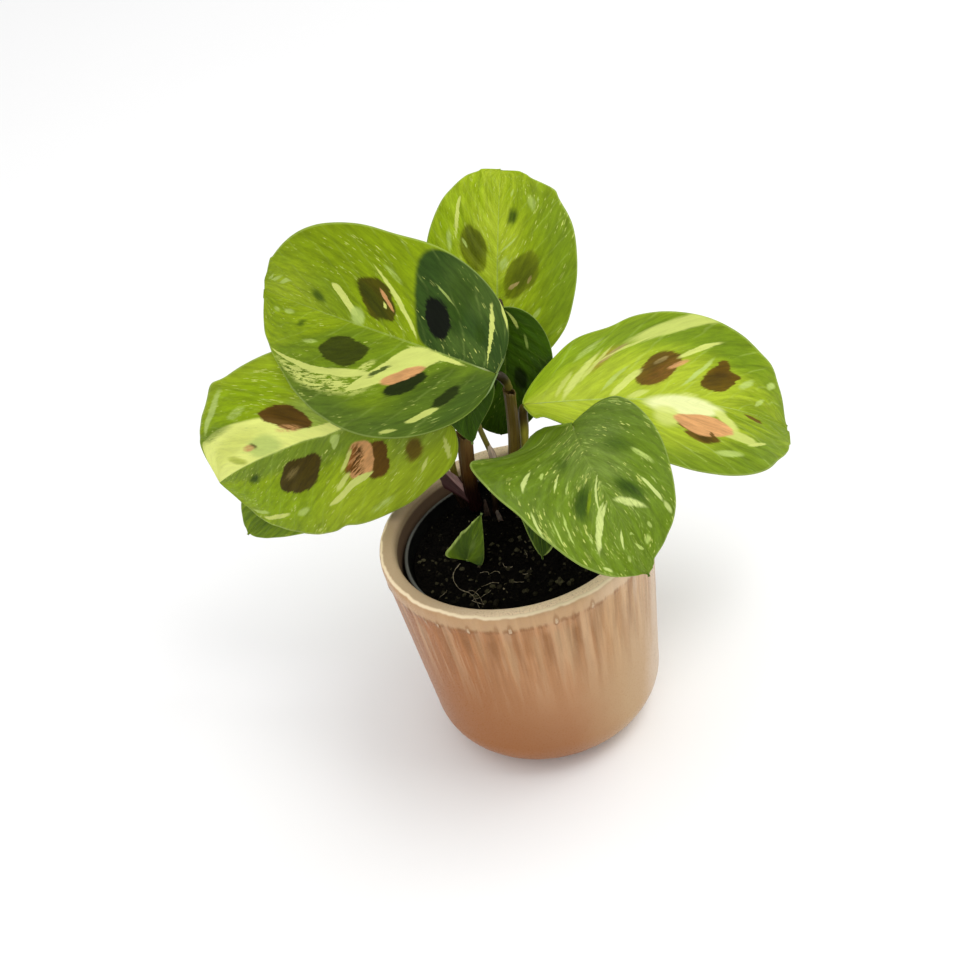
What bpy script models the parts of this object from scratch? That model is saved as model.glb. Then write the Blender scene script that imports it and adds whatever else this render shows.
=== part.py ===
"""Prayer plant in a nursery pot inside a glazed cover pot.

The origin is the centre of the cover pot's flat underside, +Z is up and -Y is the front.
Sizes are in metres and angles in degrees.
"""

import math

import bmesh
import bpy
from mathutils import Matrix, Vector

GAP = 0.0003  # kept between pieces that touch

# Cover pot: a tapered stoneware cup with a rounded lip and a soft base edge
POT_HEIGHT = 0.070
POT_RIM_RADIUS = 0.040
POT_TAPER = 0.110  # radius lost for each metre down the wall
POT_CORNER = 0.012
POT_WALL = 0.0045
POT_FLOOR = 0.0050
POT_SIDES = 48

# Nursery pot: a thin plastic liner with a rolled rim and four drain holes
LINER_TOP = 0.0645
LINER_BOTTOM = POT_FLOOR + GAP
LINER_TOP_RADIUS = 0.0328
LINER_BOTTOM_RADIUS = 0.0215
LINER_WALL = 0.0008
LINER_RIM_DEPTH = 0.0028
LINER_RIM_OUT = 0.0010
LINER_SIDES = 40
DRAIN_RADIUS = 0.0030
DRAIN_RING = 0.0140

SOIL_TOP = 0.0610
SOIL_CROWN = 0.0006  # how far the soil rises in the middle

LEAF_THICKNESS = 0.0006
LEAF_ROWS = 16
LEAF_COLUMNS = 10
VEIN_REACH = 2.2  # how strongly side veins lean to the tip
VEIN_BEND = 1.25  # how a side vein curves on its way to the margin
MIDRIB_STEPS = 24

# Each blade: where its stalk joins it, its size, and how it is turned, bent and rolled.
# heading runs counter-clockwise from +X, lift is above level, and left and right are seen
# from the stalk. fold lifts each half from the midrib and curl bends it down again.
LEAVES = {
    "leaf_large_left": dict(
        base=(0.0045, 0.0082, 0.1150), length=0.0768, left=0.0289, right=0.0280,
        heading=150, lift=20, roll=-30, droop=17, tip_droop=6, sway=0, twist=-42,
        base_round=0.44, tip_round=0.49, lobes=0.05, fold=(8, 9), curl=(14, 8)),
    "leaf_upright_back": dict(
        base=(0.0058, 0.0361, 0.0989), length=0.0585, left=0.0213, right=0.0233,
        heading=68, lift=60, roll=9, droop=14, tip_droop=11, sway=-3, twist=6,
        base_round=0.46, tip_round=0.45, lobes=0.06, fold=(9, 5), curl=(19, 15)),
    "leaf_shaded_middle": dict(
        base=(0.0092, 0.0308, 0.1213), length=0.0442, left=0.0141, right=0.0161,
        heading=262, lift=-88, roll=0, droop=7, tip_droop=2, sway=-18, twist=-5,
        base_round=0.56, tip_round=0.64, lobes=0.09, fold=(7, 8), curl=(29, 18)),
    "leaf_tucked_under": dict(
        base=(-0.0045, 0.0153, 0.1160), length=0.0249, left=0.0100, right=0.0095,
        heading=258, lift=-72, roll=8, droop=6, tip_droop=2, sway=-4, twist=0,
        base_round=0.46, tip_round=0.62, lobes=0.10, fold=(9, 9), curl=(12, 16)),
    "leaf_lower_left": dict(
        base=(-0.0116, 0.0158, 0.1018), length=0.0852, left=0.0297, right=0.0278,
        heading=166, lift=-1, roll=-40, droop=25, tip_droop=18, sway=14, twist=-17,
        base_round=0.39, tip_round=0.32, lobes=0.14, fold=(-21, 12), curl=(16, 13)),
    "leaf_behind_lower_left": dict(
        base=(-0.0254, 0.0247, 0.0844), length=0.0671, left=0.0131, right=0.0181,
        heading=164, lift=-9, roll=-65, droop=15, tip_droop=4, sway=28, twist=-6,
        base_round=0.52, tip_round=0.70, lobes=0.06, fold=(7, 12), curl=(17, 9)),
    "leaf_right": dict(
        base=(0.0101, 0.0150, 0.0989), length=0.0913, left=0.0297, right=0.0245,
        heading=6, lift=-12, roll=5, droop=19, tip_droop=23, sway=0, twist=23,
        base_round=0.81, tip_round=0.63, lobes=0.05, fold=(11, 5), curl=(-12, 23)),
    "leaf_drooping_front": dict(
        base=(0.0216, 0.0027, 0.0972), length=0.0596, left=0.0201, right=0.0319,
        heading=266, lift=15, roll=40, droop=41, tip_droop=42, sway=4, twist=-43,
        base_round=0.41, tip_round=0.62, lobes=0.20, fold=(-10, 4), curl=(12, -63)),
    "leaf_young_soil": dict(
        base=(-0.0154, -0.0022, 0.0624), length=0.0138, left=0.0068, right=0.0053,
        heading=51, lift=51, roll=-2, droop=19, tip_droop=5, sway=0, twist=-7,
        base_round=0.23, tip_round=0.90, lobes=0.00, fold=(9, 9), curl=(14, 17)),
    "leaf_low_behind_front": dict(
        base=(0.0051, 0.0095, 0.0810), length=0.0299, left=0.0074, right=0.0067,
        heading=281, lift=-8, roll=-32, droop=25, tip_droop=7, sway=-3, twist=-3,
        base_round=0.49, tip_round=0.64, lobes=0.06, fold=(7, 12), curl=(18, 10)),
}

# Free stalks, as points from the soil or a sheath's mouth to just short of the blade
PETIOLES = {
    "petiole_large_left": dict(
        path=((0.0070, 0.0116, 0.1074), (0.0065, 0.0110, 0.1100), (0.0054, 0.0099, 0.1128)),
        radius=0.0011, swell=1.15),
    "petiole_upright_back": dict(
        path=((-0.0015, 0.0255, 0.0626), (-0.0005, 0.0310, 0.0700), (0.0018, 0.0362, 0.0795),
              (0.0042, 0.0368, 0.0900), (0.0054, 0.0362, 0.0972)),
        radius=0.0010, swell=1.2),
    "petiole_shaded_middle": dict(
        path=((0.0035, 0.0245, 0.0626), (0.0065, 0.0305, 0.0710), (0.0088, 0.0346, 0.0800),
              (0.0096, 0.0337, 0.0920), (0.0099, 0.0332, 0.1060), (0.0099, 0.0331, 0.1170),
              (0.0097, 0.0327, 0.1224)),
        radius=0.0009, swell=1.2),
    "petiole_tucked_under": dict(
        path=((-0.0042, 0.0236, 0.0626), (-0.0012, 0.0196, 0.0773), (-0.0022, 0.0186, 0.0845),
              (-0.0036, 0.0192, 0.0930), (-0.0046, 0.0208, 0.1060), (-0.0046, 0.0194, 0.1140),
              (-0.0045, 0.0174, 0.1172)),
        radius=0.0008, swell=1.15),
    "petiole_lower_left": dict(
        path=((-0.0112, 0.0182, 0.0626), (-0.0123, 0.0176, 0.0750), (-0.0122, 0.0172, 0.0830),
              (-0.0118, 0.0166, 0.0910), (-0.0117, 0.0161, 0.0982)),
        radius=0.0010, swell=1.2),
    "petiole_behind_lower_left": dict(
        path=((-0.0136, 0.0232, 0.0626), (-0.0156, 0.0222, 0.0720), (-0.0178, 0.0220, 0.0790),
              (-0.0208, 0.0226, 0.0826), (-0.0240, 0.0234, 0.0840)),
        radius=0.0009, swell=1.1),
    "petiole_right": dict(
        path=((0.0046, 0.0207, 0.0626), (0.0077, 0.0183, 0.0805), (0.0089, 0.0168, 0.0891),
              (0.0098, 0.0155, 0.0970)),
        radius=0.0011, swell=1.2),
    "petiole_drooping_front": dict(
        path=((-0.0045, 0.0172, 0.0626), (-0.0025, 0.0152, 0.0720), (0.0060, 0.0104, 0.0845),
              (0.0150, 0.0056, 0.0916), (0.0202, 0.0041, 0.0955)),
        radius=0.0010, swell=1.2),
    "petiole_low_behind_front": dict(
        path=((0.0010, 0.0150, 0.0624), (0.0034, 0.0135, 0.0700), (0.0050, 0.0112, 0.0785)),
        radius=0.0007, swell=1.1),
}

# Leaf sheaths: tapered stems, with the radius at the soil and at the mouth
SHEATHS = {
    "sheath_left": dict(
        path=((-0.0080, 0.0212, 0.0626), (-0.0092, 0.0196, 0.0708), (-0.0092, 0.0184, 0.0800),
              (-0.0086, 0.0170, 0.0880), (-0.0082, 0.0162, 0.0920)),
        foot=0.0018, mouth=0.0013),
    "sheath_centre": dict(
        path=((0.0000, 0.0204, 0.0626), (0.0044, 0.0174, 0.0810), (0.0060, 0.0145, 0.0930),
              (0.0069, 0.0117, 0.1065)),
        foot=0.0017, mouth=0.0015),
}

# Dry papery sheaths: flattened tapered scales between two points
SCALES = {
    "papery_sheath_left": dict(
        start=(-0.0128, 0.0208, 0.0623), end=(-0.0158, 0.0194, 0.0782), half_width=0.0026),
    "papery_sheath_small": dict(
        start=(-0.0010, 0.0176, 0.0740), end=(-0.0019, 0.0166, 0.0865), half_width=0.0013),
    "papery_sheath_front": dict(
        start=(-0.0071, 0.0165, 0.0622), end=(-0.0068, 0.0150, 0.0695), half_width=0.0011),
    "dry_bract": dict(
        start=(-0.0036, 0.0125, 0.0623), end=(-0.0040, 0.0118, 0.0666), half_width=0.0010),
}
SCALE_THICKNESS = 0.0006

ROOT_PATH = (
    (-0.0183, -0.0045), (-0.0200, -0.0080), (-0.0185, -0.0125), (-0.0150, -0.0165),
    (-0.0110, -0.0195),
)
ROOT_RADIUS = 0.0004

COLOURS = {
    "glaze": (0.62, 0.47, 0.36), "plastic": (0.33, 0.34, 0.34), "soil": (0.012, 0.011, 0.010),
    "leaf": (0.16, 0.30, 0.03), "shaded_leaf": (0.05, 0.13, 0.02), "stalk": (0.30, 0.28, 0.04),
    "sheath": (0.16, 0.06, 0.03), "papery": (0.45, 0.32, 0.28), "root": (0.40, 0.30, 0.16),
}
DARK_LEAVES = ("leaf_shaded_middle", "leaf_tucked_under", "leaf_drooping_front")


def clear_scene():
    for obj in list(bpy.data.objects):
        bpy.data.objects.remove(obj, do_unlink=True)


def material(name, colour, roughness):
    """One Principled material."""
    mat = bpy.data.materials.get(name) or bpy.data.materials.new(name)
    mat.use_nodes = True
    shader = mat.node_tree.nodes["Principled BSDF"]
    shader.inputs["Base Color"].default_value = (*COLOURS[colour], 1.0)
    shader.inputs["Roughness"].default_value = roughness
    shader.inputs["Metallic"].default_value = 0.0
    return mat


def add_mesh(name, bm, mat, smooth_angle=40):
    """Links a bmesh as one object, shaded smooth but for its sharp edges."""
    mesh = bpy.data.meshes.new(name)
    bm.to_mesh(mesh)
    bm.free()
    mesh.shade_smooth()
    mesh.set_sharp_from_angle(angle=math.radians(smooth_angle))
    mesh.materials.append(mat)
    obj = bpy.data.objects.new(name, mesh)
    bpy.context.collection.objects.link(obj)
    return obj


def arc(centre, radius, start, end, steps):
    """Points (r, z) round a centre, from one angle to another."""
    angles = [math.radians(start + (end - start) * i / steps) for i in range(steps + 1)]
    return [(centre[0] + radius * math.cos(a), centre[1] + radius * math.sin(a)) for a in angles]


def turned(name, profile, sides, mat):
    """A solid of revolution from a profile (r, z) that starts and ends on the axis."""
    bm = bmesh.new()
    points = [bm.verts.new((r, 0.0, z)) for r, z in profile]
    edges = [bm.edges.new(pair) for pair in zip(points, points[1:])]
    bmesh.ops.spin(
        bm, geom=points + edges, cent=(0, 0, 0), axis=(0, 0, 1),
        angle=math.tau, steps=sides, use_merge=True)
    bmesh.ops.remove_doubles(bm, verts=bm.verts, dist=1e-6)
    bmesh.ops.recalc_face_normals(bm, faces=bm.faces)
    return add_mesh(name, bm, mat)


def pot_radius(z):
    """Outer radius of the cover pot's straight wall."""
    return POT_RIM_RADIUS - POT_TAPER * (POT_HEIGHT - z)


def cover_pot():
    lip = POT_WALL / 2
    corner_radius = pot_radius(POT_CORNER)
    inner_corner = POT_CORNER - POT_WALL
    inner_foot = corner_radius - POT_WALL
    profile = [(0.0, 0.0)]
    profile += arc((corner_radius - POT_CORNER, POT_CORNER), POT_CORNER, -90, 0, 7)
    profile += arc((POT_RIM_RADIUS - lip, POT_HEIGHT - lip), lip, 0, 180, 8)
    profile += arc((inner_foot - inner_corner, POT_FLOOR + inner_corner), inner_corner, 0, -90, 5)
    profile += [(0.0, POT_FLOOR)]
    turned("cover_pot", profile, POT_SIDES, material("glazed_stoneware", "glaze", 0.35))


def liner_radius(z):
    """Outer radius of the nursery pot's wall."""
    share = (z - LINER_BOTTOM) / (LINER_TOP - LINER_BOTTOM)
    return LINER_BOTTOM_RADIUS + (LINER_TOP_RADIUS - LINER_BOTTOM_RADIUS) * share


def nursery_pot():
    rim_low = LINER_TOP - LINER_RIM_DEPTH
    rim_out = liner_radius(LINER_TOP) + LINER_RIM_OUT
    floor = LINER_BOTTOM + LINER_WALL
    profile = [
        (0.0, LINER_BOTTOM), (LINER_BOTTOM_RADIUS, LINER_BOTTOM),
        (liner_radius(rim_low), rim_low), (rim_out, rim_low), (rim_out, LINER_TOP),
        (liner_radius(LINER_TOP) - LINER_WALL, LINER_TOP),
        (liner_radius(floor) - LINER_WALL, floor), (0.0, floor),
    ]
    liner = turned("nursery_pot", profile, LINER_SIDES, material("grey_plastic", "plastic", 0.55))
    bm = bmesh.new()
    for quarter in range(4):
        turn = Matrix.Rotation(math.radians(45 + 90 * quarter), 4, "Z")
        place = turn @ Matrix.Translation((DRAIN_RING, 0.0, LINER_BOTTOM))
        bmesh.ops.create_cone(
            bm, cap_ends=True, segments=12, radius1=DRAIN_RADIUS, radius2=DRAIN_RADIUS,
            depth=0.006, matrix=place)
    cutter = add_mesh("drain_cutter", bm, material("grey_plastic", "plastic", 0.55))
    cutter.hide_render = True
    cutter.display_type = "WIRE"
    holes = liner.modifiers.new("drain_holes", "BOOLEAN")
    holes.operation = "DIFFERENCE"
    holes.object = cutter


def potting_soil():
    bottom = LINER_BOTTOM + LINER_WALL + GAP
    inset = LINER_WALL + GAP
    top_radius = liner_radius(SOIL_TOP) - inset
    profile = [(0.0, bottom), (liner_radius(bottom) - inset, bottom), (top_radius, SOIL_TOP)]
    profile += [
        (top_radius * share, SOIL_TOP + SOIL_CROWN * (1 - share * share))
        for share in (0.8, 0.55, 0.3)
    ]
    profile += [(0.0, SOIL_TOP + SOIL_CROWN)]
    turned("potting_soil", profile, LINER_SIDES, material("peat", "soil", 0.95))


def midrib_frames(leaf):
    """The midrib as (point, along, up, left) at equal steps from the stalk to the tip."""
    heading, lift = math.radians(leaf["heading"]), math.radians(leaf["lift"])
    along = Vector((math.cos(heading) * math.cos(lift), math.sin(heading) * math.cos(lift),
                    math.sin(lift)))
    left = Vector((-math.sin(heading), math.cos(heading), 0.0))
    up = along.cross(left)
    roll = Matrix.Rotation(math.radians(leaf["roll"]), 3, along)
    left, up = roll @ left, roll @ up
    point = Vector(leaf["base"])
    frames = [(point.copy(), along.copy(), up.copy(), left.copy())]
    for i in range(MIDRIB_STEPS):
        share = (i + 0.5) / MIDRIB_STEPS
        bend = math.radians(leaf["droop"] + 3 * leaf["tip_droop"] * share ** 2) / MIDRIB_STEPS
        turn = Matrix.Rotation(bend, 3, left)
        along, up = turn @ along, turn @ up
        turn = Matrix.Rotation(math.radians(leaf["sway"]) / MIDRIB_STEPS, 3, up)
        along, left = turn @ along, turn @ left
        turn = Matrix.Rotation(math.radians(leaf["twist"]) / MIDRIB_STEPS, 3, along)
        left, up = turn @ left, turn @ up
        point = point + along * (leaf["length"] / MIDRIB_STEPS)
        frames.append((point.copy(), along.copy(), up.copy(), left.copy()))
    return frames


def half_width(leaf, t):
    """The blade's half width, as a share of its widest, at t from stalk to tip."""
    a, b = leaf["base_round"], leaf["tip_round"]
    widest = a / (a + b)
    t = min(max(t, 0.0), 1.0)
    return (t / widest) ** a * ((1 - t) / (1 - widest)) ** b


def blade_point(leaf, frames, u, v):
    """A point of the blade. u follows the midrib and v runs from -1 (right) to 1 (left)."""
    length = leaf["length"]
    width = leaf["left"] if v >= 0 else leaf["right"]
    fold, curl = (leaf[key][0 if v >= 0 else 1] for key in ("fold", "curl"))
    t = 1 - (1 - u) ** VEIN_REACH
    share = half_width(leaf, t)
    margin_x = length * (t - leaf["lobes"] * share * (1 - t) ** 5)
    x = length * u + (margin_x - length * u) * abs(v) ** VEIN_BEND
    out = width * share * abs(v)
    start = math.radians(fold)
    bend = math.radians(curl) / width
    end = start - bend * out
    if abs(bend) < 1e-6:
        side, rise = out * math.cos(start), out * math.sin(start)
    else:
        side = (math.sin(start) - math.sin(end)) / bend
        rise = (math.cos(end) - math.cos(start)) / bend
    place = min(max(x / length, 0.0), 1.0) * MIDRIB_STEPS
    index = min(int(place), MIDRIB_STEPS - 1)
    point, along, up, left = (
        a.lerp(b, place - index) for a, b in zip(frames[index], frames[index + 1]))
    past = min(x, 0.0) + max(x - length, 0.0)
    return point + along * past + left * math.copysign(side, v) + up * rise


def leaf_blade(name, leaf, mat):
    """A blade from a grid whose rows follow the side veins, given its thickness by Solidify."""
    frames = midrib_frames(leaf)
    bm = bmesh.new()
    bmesh.ops.create_grid(bm, x_segments=LEAF_ROWS, y_segments=LEAF_COLUMNS, size=1.0)
    for vert in bm.verts:
        u = ((vert.co.x + 1) / 2) ** 1.3
        vert.co = blade_point(leaf, frames, u, vert.co.y)
    bmesh.ops.remove_doubles(bm, verts=bm.verts, dist=1e-6)
    obj = add_mesh(name, bm, mat)
    thickness = obj.modifiers.new("thickness", "SOLIDIFY")
    thickness.thickness = LEAF_THICKNESS
    thickness.offset = 0.0
    return obj


def smooth_path(points, steps=4):
    """A curve through the points, as closer points."""
    points = [Vector(p) for p in points]
    first = points[0] * 2 - points[1]
    last = points[-1] * 2 - points[-2]
    padded = [first] + points + [last]
    path = []
    for a, b, c, d in zip(padded, padded[1:], padded[2:], padded[3:]):
        for i in range(steps):
            t = i / steps
            path.append(0.5 * (
                b * 2 + (c - a) * t + (a * 2 - b * 5 + c * 4 - d) * t ** 2
                + (b * 3 - a - c * 3 + d) * t ** 3))
    return path + [points[-1]]


def tube(name, points, radii, mat):
    """A capped tube along the points, with a radius at each."""
    curve = bpy.data.curves.new(name, "CURVE")
    curve.dimensions = "3D"
    curve.bevel_depth = 1.0
    curve.bevel_resolution = 2
    curve.use_fill_caps = True
    spline = curve.splines.new("POLY")
    spline.points.add(len(points) - 1)
    for spot, point, radius in zip(spline.points, points, radii):
        spot.co = (*point, 1.0)
        spot.radius = radius
    spline.use_smooth = True
    curve.materials.append(mat)
    obj = bpy.data.objects.new(name, curve)
    bpy.context.collection.objects.link(obj)
    return obj


def petioles():
    mat = material("stalk", "stalk", 0.5)
    for name, stalk in PETIOLES.items():
        path = smooth_path(stalk["path"])
        last = len(path) - 1
        # The joint under the blade is a little thicker than the stalk.
        radii = [
            stalk["radius"] * (1 + (stalk["swell"] - 1) * (i / last) ** 6)
            for i in range(last + 1)
        ]
        tube(name, path, radii, mat)


def sheaths():
    mat = material("sheath", "sheath", 0.55)
    for name, sheath in SHEATHS.items():
        path = smooth_path(sheath["path"])
        last = len(path) - 1
        radii = [
            sheath["foot"] + (sheath["mouth"] - sheath["foot"]) * i / last
            for i in range(last + 1)
        ]
        tube(name, path, radii, mat)


def papery_scales():
    """Thin scales, widest a third of the way up, that face the front."""
    mat = material("papery_scale", "papery", 0.7)
    for name, scale in SCALES.items():
        start, end = Vector(scale["start"]), Vector(scale["end"])
        along = end - start
        side = along.cross(Vector((0, 1, 0))).normalized()
        front = side.cross(along).normalized()
        bm = bmesh.new()
        bmesh.ops.create_cone(
            bm, cap_ends=True, segments=8, radius1=0.7, radius2=0.25, depth=1.0,
            matrix=Matrix.Translation((0, 0, 0.5)))
        to_place = Matrix((
            (*(side * scale["half_width"]),), (*(front * SCALE_THICKNESS / 2),), (*along,)
        )).transposed()
        bmesh.ops.transform(bm, matrix=Matrix.Translation(start) @ to_place.to_4x4(), verts=bm.verts)
        bmesh.ops.recalc_face_normals(bm, faces=bm.faces)
        add_mesh(name, bm, mat)


def surface_root():
    lift = SOIL_TOP + SOIL_CROWN + ROOT_RADIUS + GAP
    path = smooth_path([(x, y, lift) for x, y in ROOT_PATH])
    tube("surface_root", path, [ROOT_RADIUS] * len(path), material("root", "root", 0.7))


def main():
    clear_scene()
    cover_pot()
    nursery_pot()
    potting_soil()
    surface_root()
    for name, leaf in LEAVES.items():
        tone = "shaded_leaf" if name in DARK_LEAVES else "leaf"
        leaf_blade(name, leaf, material(tone, tone, 0.45))
    petioles()
    sheaths()
    papery_scales()


main()
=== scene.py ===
import math
import random

import bmesh
import bpy
from mathutils import Matrix, Vector, noise


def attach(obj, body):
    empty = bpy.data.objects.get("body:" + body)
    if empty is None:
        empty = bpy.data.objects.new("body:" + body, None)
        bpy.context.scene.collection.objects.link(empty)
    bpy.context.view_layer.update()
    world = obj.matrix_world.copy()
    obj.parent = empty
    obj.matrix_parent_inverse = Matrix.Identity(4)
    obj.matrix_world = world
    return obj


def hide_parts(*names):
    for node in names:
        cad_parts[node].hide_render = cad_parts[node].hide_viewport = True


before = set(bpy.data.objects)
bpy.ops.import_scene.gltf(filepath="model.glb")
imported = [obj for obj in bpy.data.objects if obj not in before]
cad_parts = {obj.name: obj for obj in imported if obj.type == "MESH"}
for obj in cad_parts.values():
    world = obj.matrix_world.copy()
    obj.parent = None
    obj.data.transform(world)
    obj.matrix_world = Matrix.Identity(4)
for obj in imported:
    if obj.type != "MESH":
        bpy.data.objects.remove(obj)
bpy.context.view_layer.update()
mm = 0.001


def addNode(tree, kind, inputs=None, **settings):
    node = tree.nodes.new(kind)
    for name, value in settings.items():
        setattr(node, name, value)
    for name, value in (inputs or {}).items():
        if isinstance(value, bpy.types.NodeSocket):
            tree.links.new(value, node.inputs[name])
        else:
            node.inputs[name].default_value = value
    return node


def calc(tree, operation, *values):
    return addNode(tree, "ShaderNodeMath", dict(enumerate(values)), operation=operation).outputs[0]


def vectorCalc(tree, operation, *values, output=0):
    node = addNode(tree, "ShaderNodeVectorMath", dict(enumerate(values)), operation=operation)
    return node.outputs[output]


def splitVector(tree, vector):
    return addNode(tree, "ShaderNodeSeparateXYZ", {0: vector}).outputs


def joinVector(tree, x=0.0, y=0.0, z=0.0):
    return addNode(tree, "ShaderNodeCombineXYZ", {0: x, 1: y, 2: z}).outputs[0]


def ramp(tree, value, low, high, start=0.0, end=1.0):
    # a smooth step from low to high
    inputs = {"Value": value, "From Min": low, "From Max": high, "To Min": start, "To Max": end}
    node = addNode(tree, "ShaderNodeMapRange", inputs, interpolation_type="SMOOTHSTEP")
    return node.outputs["Result"]


def blendColours(tree, factor, first, second):
    node = addNode(tree, "ShaderNodeMix", data_type="RGBA")
    for index, value in ((0, factor), (6, first), (7, second)):
        if isinstance(value, bpy.types.NodeSocket):
            tree.links.new(value, node.inputs[index])
        else:
            node.inputs[index].default_value = (*value, 1.0) if index else value
    return node.outputs[2]


def layerUp(tree, colour, *layers):
    # paints each (mask, tone) over what is below it
    for mask, tone in layers:
        colour = blendColours(tree, mask, colour, tone)
    return colour


def times(tree, first, second):
    return calc(tree, "MULTIPLY", first, second)


def noiseAt(tree, vector, scale, detail=2.0, roughness=0.5):
    inputs = {"Vector": vector, "Scale": scale, "Detail": detail, "Roughness": roughness}
    return addNode(tree, "ShaderNodeTexNoise", inputs).outputs["Fac"]


def stretchedNoise(tree, vector, stretch, detail=2.0, roughness=0.5):
    return noiseAt(tree, vectorCalc(tree, "MULTIPLY", vector, stretch), 1.0, detail, roughness)


def newGroup(name, inputs, outputs):
    tree = bpy.data.node_groups.new(name, "ShaderNodeTree")
    for label, value in inputs.items():
        kind = "Vector" if value is None else "Float"
        socket = tree.interface.new_socket(label, in_out="INPUT", socket_type="NodeSocket" + kind)
        if value is not None:
            socket.default_value = value
    for label, kind in outputs.items():
        tree.interface.new_socket(label, in_out="OUTPUT", socket_type="NodeSocket" + kind)
    return tree, addNode(tree, "NodeGroupInput").outputs, addNode(tree, "NodeGroupOutput").inputs


def useGroup(tree, group, inputs):
    return addNode(tree, "ShaderNodeGroup", inputs, node_tree=group).outputs


def newMaterial(name, roughness=0.5, specular=0.5, coat=0.0):
    material = bpy.data.materials.new(name)
    material.use_nodes = True
    tree = material.node_tree
    shader = tree.nodes["Principled BSDF"]
    shader.inputs["Roughness"].default_value = roughness
    shader.inputs["Specular IOR Level"].default_value = specular
    shader.inputs["Coat Weight"].default_value = coat
    return material, tree, shader


def objectPlace(tree):
    return addNode(tree, "ShaderNodeTexCoord").outputs["Object"]


def placeInMm(tree):
    return vectorCalc(tree, "MULTIPLY", objectPlace(tree), (1 / mm, 1 / mm, 1 / mm))


def readLayer(tree, name):
    return addNode(tree, "ShaderNodeAttribute", attribute_name=name).outputs["Fac"]


def applyFinish(tree, shader, colour, height, depth):
    # the colour, and a bump that is depth metres deep
    tree.links.new(colour, shader.inputs["Base Color"])
    bump = addNode(tree, "ShaderNodeBump", {"Height": height, "Distance": depth})
    tree.links.new(bump.outputs["Normal"], shader.inputs["Normal"])


def letLightThrough(tree, shader, colour, share):
    # a thin leaf or scale glows a little with the light behind it
    glow = addNode(tree, "ShaderNodeBsdfTranslucent", {"Color": colour}).outputs[0]
    mix = addNode(tree, "ShaderNodeMixShader", {0: share, 1: shader.outputs[0], 2: glow})
    tree.links.new(mix.outputs[0], tree.nodes["Material Output"].inputs["Surface"])


def makeStreakGroup():
    # fine lines that run one way, broken up along their length
    tree, given, result = newGroup(
        "fineStreaks", {"Place": None, "Across": 30.0, "Along": 3.0, "Detail": 3.0},
        {"Lines": "Float"})
    parts = splitVector(tree, given["Place"])
    place = joinVector(tree, calc(tree, "MULTIPLY", parts[0], given["Across"]),
                       calc(tree, "MULTIPLY", parts[1], given["Along"]),
                       calc(tree, "MULTIPLY", parts[2], given["Across"]))
    tree.links.new(noiseAt(tree, place, 1.0, given["Detail"], 0.6), result["Lines"])
    return tree


fineStreaks = makeStreakGroup()


def placeObject(name, data):
    placed = bpy.data.objects.new(name, data)
    bpy.context.collection.objects.link(placed)
    return placed


def meshObject(name, bm, materials=()):
    mesh = bpy.data.meshes.new(name)
    bm.to_mesh(mesh)
    bm.free()
    for material in materials:
        mesh.materials.append(material)
    return placeObject(name, mesh)


def finishPiece(name, bm, materials, replaced=(), smoothAngle=50):
    piece = meshObject(name, bm, materials)
    piece.data.shade_smooth()
    piece.data.set_sharp_from_angle(angle=math.radians(smoothAngle))
    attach(piece, "root")
    if replaced:
        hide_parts(*replaced)
    return piece


def addWall(piece, thickness, offset=-1.0):
    wall = piece.modifiers.new("thickness", "SOLIDIFY")
    wall.thickness = thickness
    wall.offset = offset
    return wall


def floatLayer(bm, name):
    return bm.verts.layers.float.get(name) or bm.verts.layers.float.new(name)


def smoothPath(points, steps=8):
    points = [Vector(point) for point in points]
    padded = [points[0] * 2 - points[1], *points, points[-1] * 2 - points[-2]]
    path = []
    for a, b, c, d in zip(padded, padded[1:], padded[2:], padded[3:]):
        for i in range(steps):
            t = i / steps
            path.append(0.5 * (
                b * 2 + (c - a) * t + (a * 2 - b * 5 + c * 4 - d) * t ** 2
                + (b * 3 - a - c * 3 + d) * t ** 3))
    return path + [points[-1]]


def sweptTube(bm, path, radii, sides=14, ribs=0, ribDepth=0.0, capped=True):
    # a ring drawn along the path; the point layers keep where each vertex is
    along, around = floatLayer(bm, "along"), floatLayer(bm, "around")
    ring = bmesh.ops.create_circle(bm, segments=sides, radius=1.0)["verts"]
    for vert in ring:
        angle = math.atan2(vert.co.y, vert.co.x)
        vert[around] = abs(angle) / math.pi
        vert.co *= 1 + ribDepth * math.cos(ribs * angle)
    edges = list({edge for vert in ring for edge in vert.link_edges})
    firstEdges = edges
    before = Matrix.Identity(4)
    side = None
    last = len(path) - 1
    for i, point in enumerate(path):
        heading = (path[min(i + 1, last)] - path[max(i - 1, 0)]).normalized()
        side = side or heading.cross(Vector((0, -1, 0)))
        side = (side - heading * side.dot(heading)).normalized()
        turn = Matrix((side, heading.cross(side), heading)).transposed().to_4x4()
        place = Matrix.Translation(point) @ turn @ Matrix.Scale(radii[i], 4)
        if i:
            grown = bmesh.ops.extrude_edge_only(bm, edges=edges)["geom"]
            ring = [item for item in grown if isinstance(item, bmesh.types.BMVert)]
            new = set(ring)
            edges = [item for item in grown if isinstance(item, bmesh.types.BMEdge)
                     and item.verts[0] in new and item.verts[1] in new]
        bmesh.ops.transform(bm, matrix=place @ before.inverted(), verts=ring)
        before = place
        for vert in ring:
            vert[along] = i / last
    if capped:
        for rim in (firstEdges, edges):
            bmesh.ops.holes_fill(bm, edges=rim, sides=0)


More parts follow.
